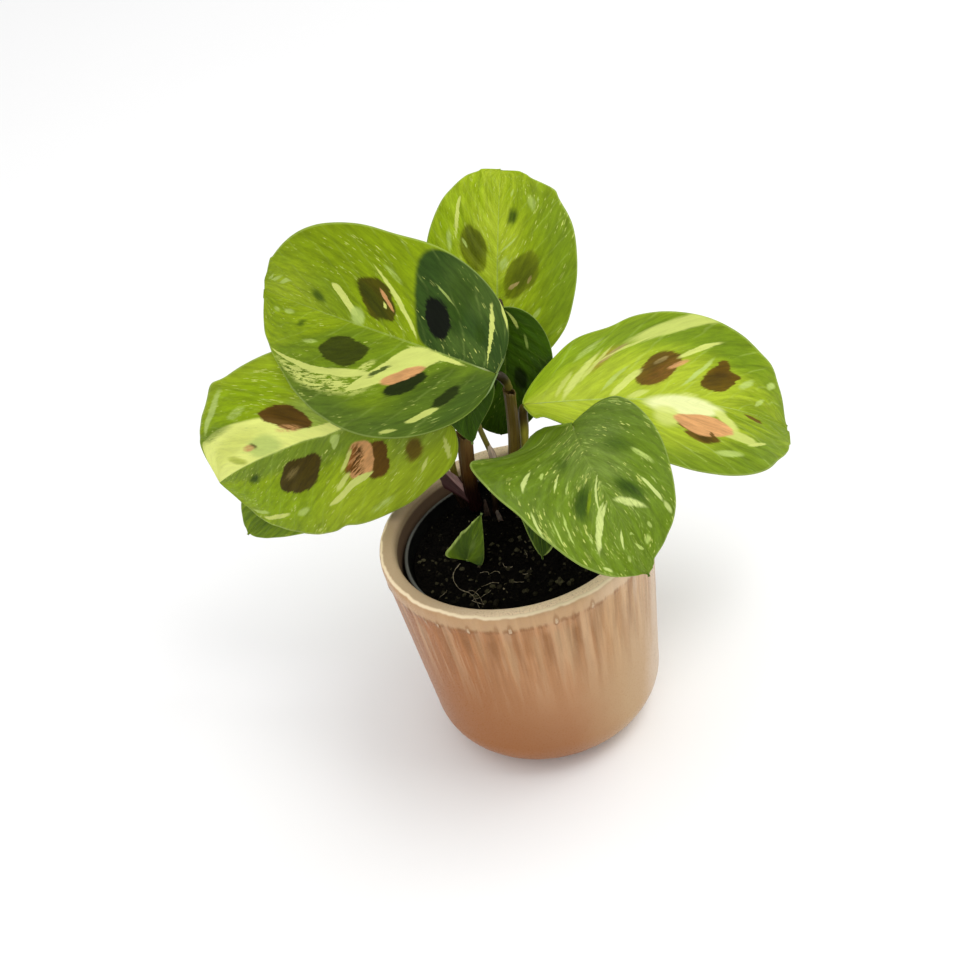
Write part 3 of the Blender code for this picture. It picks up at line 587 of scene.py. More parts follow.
leafLooks = {
    "leafLargeLeft": dict(
        ground=("bright", "mid"), drift=0.40, fine=0.26, middle=0.18, coarse=0.12, rib=0.35,
        zones=(
            spot("mid", 0.10, 0.5, 0.555, 0.505, 0.10, 8, 0.05, 0.70),
            spot("dusk", 0.26, 0.92, 0.24, 0.17, 0.0, 3, 0.6, 0.75),
            spot("dusk", 0.12, 0.50, 0.10, 0.45, 0.0, 3, 0.6, 0.5),
            spot("deep", 0.08, 0.55, 0.12, 0.42, 0.0, 3, 0.6, 0.35),
            spot("deep", 0.03, 0.5, 0.05, 0.52, 0.0, 5, 0.5, 0.6),
            spot("apple", 0.45, -0.28, 0.26, 0.30, 0.0, 3, 0.6, 0.6),
            spot("moss", 0.17, 0.35, 0.025, 0.30, 0.1, 3, 0.6, 0.35),
            spot("apple", 0.42, -0.82, 0.24, 0.32, 0.0, 3, 0.5, 0.8),
            spot("mid", 0.66, -0.30, 0.10, 0.30, 0.0, 3, 0.6, 0.45),
            spot("lime", 0.83, -0.40, 0.16, 0.45, 0.0, 3, 0.7, 0.35),
            spot("mid", 0.80, -0.90, 0.16, 0.20, 0.0, 3, 0.6, 0.2),
            spot("deep", 0.00, -0.5, 0.280, 0.505, -0.11, 8, 0.03, bend=-0.02),
            # a greyish patch near the stalk, out towards the right margin: painted sheen
            spot("grey", 0.10, -0.80, 0.07, 0.25, -0.1, 3, 0.5, 0.35),
            spot("grey", 0.13, -0.14, 0.09, 0.12, 0.0, 3, 0.6, 0.35),
            spot("moss", 0.155, -0.55, 0.030, 0.35, -0.12, 3, 0.5, 0.5)),
        marks=(
            spot("olive", 0.505, 0.355, 0.082, 0.165, 0.02, 2.8, 0.06, 0.97),
            spot("pitch", 0.232, 0.39, 0.036, 0.165, 0.10, 2.4, 0.12),
            spot("pitch", 0.095, 0.45, 0.020, 0.155, 0.03, 2.2, 0.2, 0.95),
            spot("black", 0.222, -0.32, 0.040, 0.185, -0.03, 2.4, 0.10),
            spot("moss", 0.085, -0.38, 0.016, 0.10, 0.0, 2, 0.6, 0.7),
            spot("cocoa", 0.435, -0.33, 0.062, 0.195, -0.04, 2.8, 0.08, 0.96),
            spot("olive", 0.455, -0.30, 0.035, 0.17, 0.1, 2.5, 0.4, 0.7),
            spot("moss", 0.69, -0.28, 0.025, 0.10, 0.0, 2, 0.6, 0.8),
            spot("moss", 0.735, 0.33, 0.014, 0.07, 0.0, 2, 0.7, 0.7),
            spot("cream", 0.445, 0.73, 0.075, 0.17, 0.55, 2.5, 0.4, 1.0, broken=1.0),
            spot("cream", 0.55, 0.88, 0.050, 0.09, 0.8, 2.5, 0.4, 0.9, broken=1.0),
            spot("cream", 0.308, 0.33, 0.046, 0.33, 0.16, 4, 0.05, taper=-0.72),
            spot("cream", 0.225, 0.040, 0.105, 0.032, 0.0, 1.3, 0.12),
            spot("cream", 0.505, 0.685, 0.027, 0.285, 0.62, 1.3, 0.08, bend=0.02),
            spot("cream", 0.410, 0.51, 0.030, 0.09, 0.5, 2.5, 0.2),
            spot("moss", 0.336, 0.37, 0.011, 0.09, 0.1, 2, 0.3, 0.9),
            spot("salmon", 0.262, 0.32, 0.026, 0.145, 0.20, 2.4, 0.12),
            spot("cream", 0.385, 0.42, 0.015, 0.12, 0.0, 2.5, 0.3, 0.8, broken=1.0),
            spot("cream", 0.115, 0.71, 0.013, 0.10, 0.15, 3, 0.12, 0.85),
            spot("cream", 0.157, 0.92, 0.012, 0.03, 0.3, 3, 0.2, 0.7),
            spot("cream", 0.053, -0.45, 0.0065, 0.39, 0.03, 1.4, 0.12, 0.95, taper=0.6),
            spot("cream", 0.035, -0.97, 0.012, 0.05, 0.1, 3, 0.2, 0.9),
            spot("cream", 0.350, -0.35, 0.011, 0.29, 0.13, 1.3, 0.12, 0.95),
            spot("pale", 0.335, -0.60, 0.012, 0.06, 0.2, 2.5, 0.4, 0.7, broken=0.6),
            spot("pale", 0.185, -0.57, 0.006, 0.07, 0.3, 1.6, 0.3, 0.6),
            spot("cream", 0.573, -0.27, 0.017, 0.175, 0.08, 4, 0.06),
            spot("pale", 0.548, -0.10, 0.028, 0.10, -0.1, 2.5, 0.3, 0.85),
            spot("salmon", 0.397, -0.34, 0.009, 0.09, 0.10, 2.0, 0.2),
            spot("cream", 0.413, -0.29, 0.005, 0.03, 0.0, 2, 0.3),
            spot("pale", 0.810, -0.57, 0.030, 0.04, 0.35, 2.5, 0.3, 0.8),
            spot("pale", 0.848, -0.73, 0.020, 0.06, 0.5, 2.5, 0.4, 0.7),
            spot("pale", 0.870, -0.84, 0.030, 0.03, 0.5, 2.5, 0.3, 0.6),
            spot("pale", 0.825, 0.30, 0.016, 0.07, 0.1, 2.5, 0.5, 0.7),
            spot("pale", 0.87, 0.52, 0.014, 0.06, 0.1, 2.5, 0.5, 0.6),
            spot("pale", 0.63, 0.48, 0.014, 0.05, 0.3, 2.5, 0.4, 0.7, broken=0.5))),
    "leafUprightBack": dict(
        ground=("bright", "lime"), drift=0.60, fine=0.30, middle=0.20, coarse=0.12, rib=0.45,
        zones=(
            spot("lime", 0.60, 0.15, 0.24, 0.25, 0.0, 2.5, 0.7, 0.45),
            spot("lime", 0.64, -0.15, 0.16, 0.16, 0.0, 2.5, 0.7, 0.5),
            spot("apple", 0.42, -0.75, 0.45, 0.36, 0.0, 3, 0.5, 0.9),
            spot("mid", 0.33, -0.92, 0.32, 0.30, 0.0, 3, 0.7, 0.60),
            spot("vivid", 0.48, 0.85, 0.20, 0.20, 0.0, 3, 0.6, 0.5)),
        marks=(
            spot("bronze", 0.505, 0.385, 0.090, 0.205, 0.0, 3, 0.10, 0.95),
            spot("olive", 0.530, 0.40, 0.060, 0.17, 0.05, 2.5, 0.6, 0.65),
            spot("bronze", 0.397, -0.305, 0.088, 0.225, 0.0, 2.8, 0.10, 0.95),
            spot("olive", 0.395, -0.34, 0.065, 0.17, 0.0, 2.5, 0.6, 0.55),
            spot("tan", 0.368, -0.21, 0.010, 0.07, 0.0, 2.2, 0.25, 0.9),
            spot("tan", 0.350, -0.41, 0.010, 0.03, 0.3, 2.5, 0.3, 0.6),
            spot("pale", 0.490, 0.52, 0.009, 0.05, 0.15, 2.0, 0.3, 0.7),
            spot("moss", 0.70, -0.31, 0.034, 0.10, 0.0, 2, 0.6, 0.85),
            spot("cream", 0.575, 0.755, 0.024, 0.085, 0.75, 4, 0.12, 0.85),
            spot("pale", 0.445, 0.73, 0.028, 0.045, 0.4, 2.5, 0.5, 0.8, broken=0.6),
            spot("pale", 0.500, -0.09, 0.025, 0.06, 0.0, 2.5, 0.5, 0.9, broken=0.5),
            spot("pale", 0.575, -0.18, 0.007, 0.13, 0.05, 2.0, 0.4, 0.9, broken=0.4),
            spot("pale", 0.680, -0.67, 0.030, 0.06, 0.3, 2.5, 0.5, 0.5),
            spot("pale", 0.190, -0.50, 0.012, 0.05, 0.2, 2.5, 0.4, 0.6),
            spot("pale", 0.810, -0.47, 0.012, 0.06, 0.1, 2.5, 0.4, 0.6))),
    "leafShadedMiddle": dict(
        ground=("shade", "deep"), drift=0.6, fine=0.18, middle=0.08, coarse=0.03, rib=0.10,
        zones=(), marks=(
            spot("cream", 0.07, 0.36, 0.05, 0.05, 0.0, 2.5, 0.2, 0.9),
            spot("cream", 0.05, 0.17, 0.04, 0.03, 0.0, 2.5, 0.2, 0.9),
            spot("pale", 0.19, 0.47, 0.04, 0.03, 0.0, 2.5, 0.3, 0.5),
            spot("black", 0.45, 0.36, 0.07, 0.16, 0.0, 2.5, 0.3, 0.8),
            spot("black", 0.47, -0.36, 0.07, 0.16, 0.0, 2.5, 0.3, 0.8))),
    "leafTuckedUnder": dict(
        ground=("shade", "moss"), drift=0.5, fine=0.10, middle=0.06, coarse=0.04, rib=0.06,
        zones=(), marks=()),
    "leafLowerLeft": dict(
        ground=("bright", "mid"), drift=0.36, fine=0.34, middle=0.20, coarse=0.14, rib=0.25,
        zones=(
            spot("grey", 0.60, 0.12, 0.40, 0.15, 0.0, 3, 0.5, 0.55),
            # the haze patch is painted sheen
            spot("paintedSheen", 0.10, 0.45, 0.10, 0.35, 0.0, 3, 0.6, 0.4),
            spot("bright", 0.14, 0.75, 0.30, 0.30, 0.0, 3, 0.6, 0.85),
            spot("lime", 0.42, -0.75, 0.22, 0.30, 0.0, 3, 0.7, 0.35),
            spot("vivid", 0.72, 0.62, 0.30, 0.24, 0.0, 3, 0.5, 0.7),
            spot("lime", 0.20, 0.70, 0.22, 0.35, 0.0, 3, 0.6, 0.40),
            spot("mid", 0.62, 0.97, 0.40, 0.10, 0.0, 3, 0.5, 0.15),
            spot("pale", 0.42, -0.22, 0.06, 0.22, 0.0, 3, 0.5, 0.35),
            spot("vivid", 0.60, -0.70, 0.26, 0.20, 0.0, 3, 0.5, 0.8),
            # the butter tone is the cream sector made lighter than the leaf's own cream, as painted
            # light
            spot("butter", 1.15, -0.5, 0.555, 0.505, 0.44, 8, 0.02, bend=0.065),
            spot("yellow", 0.80, -0.45, 0.16, 0.16, 0.4, 3, 0.6, 0.45),
            spot("mid", 0.77, -0.83, 0.055, 0.20, 0.5, 1.5, 0.5, 0.7)),
        marks=(
            spot("butter", 0.455, -0.062, 0.110, 0.068, 0.0, 1.4, 0.12),
            spot("brown", 0.538, 0.335, 0.092, 0.185, 0.06, 3.0, 0.06, 0.97),
            spot("tan", 0.575, 0.31, 0.020, 0.06, 0.2, 2.5, 0.6, 0.35, broken=0.7),
            spot("russet", 0.226, 0.36, 0.040, 0.19, -0.08, 3, 0.08, 0.97),
            spot("salmon", 0.285, 0.33, 0.046, 0.185, -0.08, 3, 0.08),
            spot("russet", 0.306, 0.34, 0.032, 0.17, -0.06, 3, 0.3, 1.0, broken=0.85),
            spot("rust", 0.322, 0.30, 0.016, 0.10, 0.0, 2.5, 0.4, 0.7, broken=0.5),
            spot("russet", 0.108, 0.38, 0.024, 0.13, -0.05, 2.5, 0.35, 0.85),
            spot("russet", 0.500, -0.315, 0.062, 0.175, 0.07, 3.3, 0.07, 0.97, taper=0.10),
            spot("brown", 0.490, -0.38, 0.035, 0.10, 0.07, 3, 0.7, 0.55),
            spot("salmon", 0.535, -0.195, 0.030, 0.050, 0.3, 2.5, 0.5, 0.85, broken=0.8),
            spot("moss", 0.778, 0.29, 0.030, 0.07, 0.1, 2, 0.6, 0.9),
            spot("cream", 0.307, 0.585, 0.028, 0.12, 0.50, 4, 0.08),
            spot("cream", 0.338, 0.50, 0.016, 0.07, 0.2, 2.5, 0.3, 0.9),
            spot("cream", 0.340, 0.29, 0.009, 0.09, 0.1, 2.5, 0.3, 0.85),
            spot("pale", 0.400, 0.09, 0.016, 0.07, 0.0, 2.5, 0.2, 0.85, taper=-0.6),
            spot("cream", 0.667, 0.85, 0.034, 0.08, 0.95, 1.6, 0.15, 0.95),
            spot("pale", 0.77, 0.86, 0.026, 0.06, 0.9, 1.6, 0.3, 0.8),
            spot("pale", 0.51, 0.74, 0.020, 0.05, 0.3, 2.5, 0.4, 0.7),
            spot("cream", 0.080, 0.65, 0.006, 0.07, 0.1, 1.6, 0.3, 0.85),
            spot("cream", 0.027, 0.66, 0.005, 0.20, 0.0, 1.6, 0.3, 0.85),
            spot("pale", 0.185, 0.86, 0.024, 0.05, 0.3, 2.5, 0.5, 0.7, broken=0.7),
            spot("pale", 0.675, -0.15, 0.070, 0.15, 0.0, 3, 0.3, 0.75),
            spot("yellow", 0.825, -0.18, 0.026, 0.14, 0.12, 2.5, 0.35, 0.9),
            spot("mid", 0.825, -0.16, 0.018, 0.10, 0.12, 2.5, 0.6, 0.30),
            spot("brown", 0.703, -0.24, 0.011, 0.05, 0.0, 2.5, 0.5, 0.8),
            spot("salmon", 0.727, -0.24, 0.020, 0.055, 0.0, 2.5, 0.45, 0.9, broken=0.4),
            spot("pale", 0.60, -0.66, 0.030, 0.05, 0.3, 2.5, 0.4, 0.7, broken=0.5),
            # a pale white streak along the right margin: painted highlight
            spot("pale", 0.66, -0.90, 0.110, 0.035, 0.0, 2, 0.3, 0.85))),
    "leafBehindLowerLeft": dict(
        ground=("mid", "bright"), drift=0.5, fine=0.16, middle=0.12, coarse=0.08, rib=0.3,
        zones=(spot("deep", 0.80, 0.0, 0.16, 0.8, 0.0, 3, 0.6, 0.4),),
        marks=(
            spot("olive", 0.50, 0.36, 0.07, 0.18, 0.0, 2.5, 0.2, 0.8),
            spot("olive", 0.50, -0.36, 0.07, 0.18, 0.0, 2.5, 0.2, 0.8))),
    "leafRight": dict(
        ground=("apple", "lime"), drift=0.55, fine=0.14, middle=0.14, coarse=0.20, rib=0.75,
        zones=(
            spot("vivid", 0.04, 0.5, 0.08, 0.505, 0.05, 6, 0.3, 0.85),
            spot("vivid", 0.27, 0.80, 0.20, 0.25, 0.2, 3, 0.5, 0.65),
            spot("vivid", 0.52, 0.80, 0.16, 0.22, 0.0, 3, 0.5, 0.65),
            spot("mid", 0.40, 0.80, 0.25, 0.20, 0.0, 3, 0.6, 0.65),
            spot("mid", 0.45, -0.86, 0.30, 0.22, 0.0, 3, 0.6, 0.75),
            spot("mid", 0.64, 0.88, 0.18, 0.18, 0.0, 3, 0.6, 0.45),
            spot("yellow", 0.10, 0.04, 0.09, 0.20, 0.0, 3, 0.7, 0.5),
            spot("lime", 0.30, 0.22, 0.30, 0.30, 0.1, 3, 0.7, 0.7),
            spot("lime", 0.52, 0.20, 0.20, 0.35, 0.0, 3, 0.7, 0.6),
            spot("lime", 0.20, -0.30, 0.25, 0.40, 0.0, 3, 0.7, 0.7),
            spot("mid", 0.98, 0.0, 0.18, 1.05, 0.0, 3, 0.6, 0.48),
            spot("mid", 0.88, -0.60, 0.22, 0.40, 0.0, 3, 0.6, 0.30)),
        marks=(
            spot("ivory", 0.520, -0.10, 0.135, 0.18, -0.05, 2.2, 0.20, 1.0),
            spot("cream", 0.400, -0.27, 0.042, 0.15, -0.25, 2.5, 0.35, 0.8),
            spot("cream", 0.605, -0.33, 0.026, 0.19, -0.12, 2.5, 0.3, 0.9),
            spot("cream", 0.560, -0.60, 0.042, 0.14, 0.25, 2.5, 0.2, 0.8, taper=-0.3),
            spot("cream", 0.605, -0.745, 0.036, 0.030, 0.9, 2.0, 0.2, 0.8),
            spot("umber", 0.425, -0.56, 0.044, 0.085, 0.1, 2.6, 0.12, 0.97),
            spot("brown", 0.432, -0.59, 0.026, 0.045, 0.0, 2.5, 0.6, 0.6),
            spot("umber", 0.415, -0.46, 0.016, 0.09, 0.1, 2.5, 0.2, 0.95),
            spot("salmon", 0.492, -0.41, 0.086, 0.165, 0.02, 3, 0.08),
            spot("umber", 0.465, -0.56, 0.010, 0.05, -0.2, 2.5, 0.3, 0.9),
            spot("umber", 0.388, 0.370, 0.051, 0.200, 0.02, 3, 0.08, 0.97),
            spot("rust", 0.405, 0.34, 0.035, 0.15, 0.05, 2.5, 0.6, 0.35, broken=0.6),
            spot("tan", 0.378, 0.46, 0.010, 0.05, 0.2, 2.2, 0.3, 0.8),
            spot("salmon", 0.436, 0.45, 0.011, 0.07, 0.2, 2.2, 0.3, 0.85),
            spot("umber", 0.592, 0.43, 0.054, 0.180, -0.03, 3.2, 0.07, 0.97),
            spot("umber", 0.562, 0.575, 0.024, 0.105, -0.12, 2.5, 0.12, 0.97),
            spot("umber", 0.618, 0.545, 0.024, 0.070, 0.0, 2.8, 0.12, 0.97),
            spot("brown", 0.575, 0.45, 0.030, 0.12, 0.0, 2.5, 0.7, 0.55),
            spot("brown", 0.375, 0.40, 0.020, 0.12, 0.0, 2.5, 0.7, 0.45),
            spot("rust", 0.205, 0.50, 0.018, 0.13, 0.12, 2.5, 0.5, 0.55, broken=0.6),
            spot("tan", 0.225, 0.55, 0.012, 0.10, 0.25, 2.2, 0.4, 0.8),
            spot("umber", 0.770, -0.24, 0.024, 0.120, 0.07, 2.2, 0.2, 0.95),
            spot("cream", 0.338, 0.86, 0.040, 0.19, 0.36, 3, 0.25, 0.75),
            spot("cream", 0.250, 0.60, 0.008, 0.12, 0.45, 1.6, 0.3, 0.7),
            spot("cream", 0.450, 0.67, 0.013, 0.15, 0.19, 2.2, 0.2, 0.95),
            spot("cream", 0.155, 0.34, 0.014, 0.30, 0.09, 1.5, 0.25, 0.85),
            spot("cream", 0.190, 0.46, 0.008, 0.20, 0.12, 1.4, 0.3, 0.7),
            spot("cream", 0.118, 0.26, 0.010, 0.18, 0.08, 1.5, 0.3, 0.6),
            spot("pale", 0.150, 0.72, 0.012, 0.12, 0.15, 1.6, 0.4, 0.7, broken=0.4),
            spot("cream", 0.312, 0.19, 0.016, 0.15, 0.17, 3, 0.15, 0.85),
            spot("pale", 0.270, 0.24, 0.009, 0.14, 0.15, 1.8, 0.3, 0.7),
            spot("pale", 0.512, 0.42, 0.009, 0.20, 0.03, 1.8, 0.3, 0.9, bend=-0.006),
            spot("pale", 0.677, 0.55, 0.013, 0.11, 0.0, 2.2, 0.4, 0.8),
            spot("pale", 0.770, 0.46, 0.009, 0.12, -0.05, 2.0, 0.4, 0.8),
            spot("pale", 0.720, 0.85, 0.012, 0.07, 0.0, 2.2, 0.4, 0.8),
            spot("cream", 0.540, 0.10, 0.028, 0.035, 0.2, 2.5, 0.5, 0.7, broken=0.5),
            spot("cream", 0.368, 0.06, 0.022, 0.05, 0.4, 2.5, 0.3, 0.7),
            spot("pale", 0.455, -0.77, 0.042, 0.04, 0.4, 2.5, 0.3, 0.8))),
    "leafDroopingFront": dict(
        # the haze drifts in the ground are painted sheen
        ground=("mid", "paintedSheen"), drift=0.36, fine=0.36, middle=0.28, coarse=0.14, rib=0.14,
        zones=(
            spot("grey", 0.10, 0.50, 0.18, 0.55, 0.0, 3, 0.5, 0.6),
            spot("vivid", 0.62, -0.62, 0.20, 0.35, 0.0, 3, 0.7, 0.20),
            spot("forest", 0.52, -0.80, 0.40, 0.42, 0.0, 3, 0.8, 0.20),
            spot("forest", 0.50, 0.80, 0.36, 0.36, 0.0, 3, 0.8, 0.13),
            # the haze patch is painted sheen
            spot("paintedSheen", 0.36, 0.10, 0.22, 0.35, 0.0, 3, 0.7, 0.35),
            spot("mid", 0.42, 0.82, 0.24, 0.24, 0.0, 3, 0.7, 0.9),
            spot("mid", 0.32, -0.60, 0.20, 0.35, 0.0, 3, 0.7, 0.5),
            spot("mid", 0.74, -0.55, 0.16, 0.35, 0.0, 3, 0.7, 0.35),
            spot("mid", 0.85, 0.45, 0.22, 0.6, 0.0, 3, 0.5, 0.6)),
        marks=(
            spot("forest", 0.275, 0.43, 0.042, 0.17, 0.0, 2.2, 0.7, 0.70),
            spot("forest", 0.530, 0.42, 0.058, 0.19, 0.0, 2.4, 0.45, 0.85),
            spot("forest", 0.270, -0.21, 0.070, 0.07, 0.0, 2, 0.7, 0.6),
            spot("forest", 0.535, -0.32, 0.050, 0.18, 0.15, 2.4, 0.45, 0.85),
            spot("moss", 0.525, 0.40, 0.030, 0.13, 0.0, 2.2, 0.6, 0.8),
            spot("moss", 0.535, -0.36, 0.026, 0.13, 0.15, 2.2, 0.6, 0.8),
            spot("bright", 0.560, -0.27, 0.012, 0.12, 0.20, 2.0, 0.5, 0.5),
            spot("milk", 0.612, 0.35, 0.020, 0.26, -0.10, 1.5, 0.3, 1.0, broken=0.35),
            spot("milk", 0.655, -0.43, 0.016, 0.33, 0.05, 1.7, 0.2, broken=0.2),
            spot("milk", 0.628, -0.27, 0.007, 0.14, 0.05, 1.6, 0.3, 0.8),
            spot("pale", 0.860, 0.30, 0.014, 0.26, -0.07, 1.8, 0.2, 0.9, bend=-0.012),
            spot("pale", 0.806, 0.15, 0.006, 0.16, -0.1, 1.5, 0.3, 0.7),
            spot("milk", 0.474, 0.72, 0.015, 0.11, 0.28, 3, 0.2, 0.9),
            spot("pale", 0.318, 0.70, 0.015, 0.09, 0.2, 2.5, 0.4, 0.9, broken=0.4),
            spot("milk", 0.560, -0.12, 0.009, 0.14, 0.5, 1.8, 0.25, 0.9),
            spot("milk", 0.780, -0.34, 0.009, 0.16, 0.08, 1.6, 0.25, 0.9),
            spot("milk", 0.278, -0.58, 0.013, 0.10, 0.45, 1.8, 0.2, 0.95),
            spot("milk", 0.365, -0.37, 0.008, 0.07, 0.45, 1.6, 0.25, 0.9),
            spot("pale", 0.290, -0.42, 0.012, 0.03, 0.4, 2.5, 0.3, 0.8),
            spot("pale", 0.425, -0.32, 0.007, 0.06, 0.4, 1.8, 0.3, 0.7),
            spot("pale", 0.735, 0.71, 0.020, 0.05, 0.0, 2.5, 0.5, 0.7, broken=0.4),
            spot("pale", 0.665, 0.68, 0.012, 0.04, 0.0, 2.5, 0.4, 0.7),
            spot("milk", 0.430, -0.92, 0.009, 0.09, 0.3, 1.6, 0.3, 0.9),
            spot("pale", 0.500, -0.82, 0.006, 0.09, 0.3, 1.5, 0.3, 0.8),
            spot("pale", 0.530, -0.70, 0.006, 0.12, 0.3, 1.5, 0.3, 0.7),
            spot("pale", 0.830, -0.63, 0.011, 0.06, 0.0, 2.5, 0.5, 0.6),
            spot("milk", 0.525, 0.90, 0.016, 0.05, 0.2, 2.5, 0.4, 0.7),
            spot("milk", 0.710, -0.92, 0.018, 0.02, 0.2, 2.5, 0.4, 0.7))),
    "leafYoungSoil": dict(
        ground=("deep", "mid"), drift=0.9, fine=0.10, middle=0.25, coarse=0.30, rib=0.1,
        zones=(), marks=(
            spot("mid", 0.30, 0.45, 0.40, 0.50, 0.0, 2.5, 0.7, 0.3),
            # the haze patch is painted sheen
            spot("paintedSheen", 0.30, -0.20, 0.10, 0.20, 0.0, 2.5, 0.7, 0.5, broken=0.6),
            spot("pale", 0.35, 0.97, 0.45, 0.11, 0.0, 2.5, 0.5, 0.9, broken=0.3))),
    "leafLowBehindFront": dict(
        ground=("deep", "mid"), drift=0.5, fine=0.08, middle=0.08, coarse=0.06, rib=0.3,
        zones=(), marks=(
            spot("pale", 0.60, 1.00, 0.35, 0.07, 0.0, 2.5, 0.4, 0.7),)),
}


bladeGlow = 0.16  # the share of light that passes through a blade


def leafPlaces(tree, leaf):
    # the leaf's coordinates, in centimetres along and across it, and its veins
    uv = addNode(tree, "ShaderNodeUVMap", uv_map="leafMap").outputs["UV"]
    coords = useGroup(tree, leafCoords, {
        "UV": uv, "Length": leaf["length"] * 100, "Width": 50 * (leaf["left"] + leaf["right"])})
    return coords, useGroup(tree, leafVeins, {"Map": coords["Plain"], "Place": coords["Place"]})


def markMask(tree, coords, mark):
    inputs = {key.capitalize(): mark[key] for key in (
        "centre", "size", "ragged", "lean", "bend", "taper", "across", "ends", "edge")}
    return useGroup(tree, leafMark, {
        "Plain": coords["Plain"], "Torn": coords["Torn"], **inputs})["Mask"]


def makeTopSide(name, leaf, look):
    material, tree, shader = newMaterial(name + "Top", roughness=0.46, specular=0.11)
    coords, veins = leafPlaces(tree, leaf)
    place = coords["Place"]
    first, second = (tones[tone] for tone in look["ground"])
    cloud = stretchedNoise(tree, place, (2.2, 0.9, 1.0), 5.0, 0.6)
    colour = blendColours(tree, ramp(tree, cloud, 0.38, 0.64, 0.0, look["drift"]), first, second)
    crumbs = ramp(tree, stretchedNoise(tree, place, (9.0, 4.0, 1.0), 5.0, 0.72), 0.45, 0.52)

    def paint(mark):
        strength = times(tree, markMask(tree, coords, mark), mark["strength"])
        if mark["broken"]:
            strength = times(tree, strength, calc(
                tree, "MULTIPLY_ADD", crumbs, mark["broken"], 1 - mark["broken"]))
        return blendColours(tree, strength, colour, tones[mark["tone"]])

    for mark in look["zones"]:
        colour = paint(mark)
    colour = layerUp(
        tree, colour,
        (times(tree, veins["SideVeins"], 0.22 * look["rib"] + 0.06), tones["pale"]),
        (times(tree, veins["Midrib"], look["rib"]), tones["pale"]),
        (times(tree, veins["Core"], 0.4), tones["mid"]))
    for key, scale, stretch, softness, strength in (
            ("coarse", 4.6, 3.0, 0.30, 0.45), ("middle", 8.5, 2.8, 0.22, 0.75),
            ("fine", 15.0, 2.3, 0.20, 0.90)):
        mask = useGroup(tree, leafFlecks, {
            "Place": place, "Scale": scale, "Stretch": stretch, "Amount": look[key],
            "Softness": softness})["Mask"]
        colour = blendColours(tree, times(tree, mask, strength), colour,
                              tones["cream" if key == "fine" else "pale"])
    for mark in look["marks"]:
        colour = paint(mark)

    # painted pleat shading, and lines and mottling of tone, darken and lighten the greens, and the
    # pale marks only a little
    lines = useGroup(tree, fineStreaks, {"Place": place, "Across": 26.0, "Along": 2.2})["Lines"]
    mottle = stretchedNoise(tree, place, (5.5, 3.4, 1.0), 5.0, 0.68)
    shade = calc(tree, "MULTIPLY_ADD", veins["PaintedPleatShade"], 0.13, ramp(
        tree, lines, 0.2, 0.8, -0.06, 0.06))
    shade = calc(tree, "ADD", shade, ramp(tree, mottle, 0.34, 0.66, -0.14, 0.14))
    calm = ramp(tree, splitVector(tree, colour)[1], 0.42, 0.72, 1.0, 0.30)
    shade = calc(tree, "MULTIPLY_ADD", shade, calm, 1.0)
    colour = vectorCalc(tree, "MULTIPLY", colour, joinVector(tree, shade, shade, shade))
    # a pale line along the margin: partly the leaf's pale edge, partly painted highlight
    colour = layerUp(tree, colour, (times(tree, veins["Margin"], 0.35), tones["pale"]))
    tree.links.new(ramp(tree, lines, 0.2, 0.8, 0.40, 0.54), shader.inputs["Roughness"])
    applyFinish(tree, shader, colour, calc(tree, "MULTIPLY_ADD", lines, 0.8, veins["Height"]),
                0.05 * mm)
    letLightThrough(tree, shader, colour, bladeGlow)
    return material


undersideTones = {"ground": (0.17, 0.26, 0.08), "cloud": (0.27, 0.37, 0.12),
                  "mark": (0.11, 0.10, 0.05), "vein": (0.40, 0.50, 0.20)}


def makeUnderside(name, leaf, look):
    # paler and greyer than the upper side, with the veins standing out
    material, tree, shader = newMaterial(name + "Under", roughness=0.55, specular=0.25)
    coords, veins = leafPlaces(tree, leaf)
    cloud = noiseAt(tree, coords["Place"], 1.2, 4.0)
    colour = blendColours(tree, ramp(tree, cloud, 0.3, 0.7), undersideTones["ground"],
                          undersideTones["cloud"])
    for mark in look["marks"][:8]:
        if mark["tone"] in darkTones:
            mask = markMask(tree, coords, {**mark, "ragged": 1.0, "bend": 0.0, "taper": 0.0,
                                           "edge": 0.3})
            colour = blendColours(tree, times(tree, mask, 0.5), colour, undersideTones["mark"])
    colour = layerUp(tree, colour, (times(tree, veins["SideVeins"], 0.5), undersideTones["vein"]))
    applyFinish(tree, shader, colour, calc(
        tree, "MULTIPLY_ADD", veins["SideVeins"], 1.5, veins["Height"]), 0.06 * mm)
    letLightThrough(tree, shader, colour, bladeGlow)
    return material


ribFrames = {}
for index, (name, leaf) in enumerate(leaves.items()):
    look = leafLooks[name]
    materials = (makeTopSide(name, leaf, look), makeUnderside(name, leaf, look))
    ribFrames[name] = makeBlade(name, leaf, materials, seed=11.7 * (index + 1))
    print("leaf:", name)


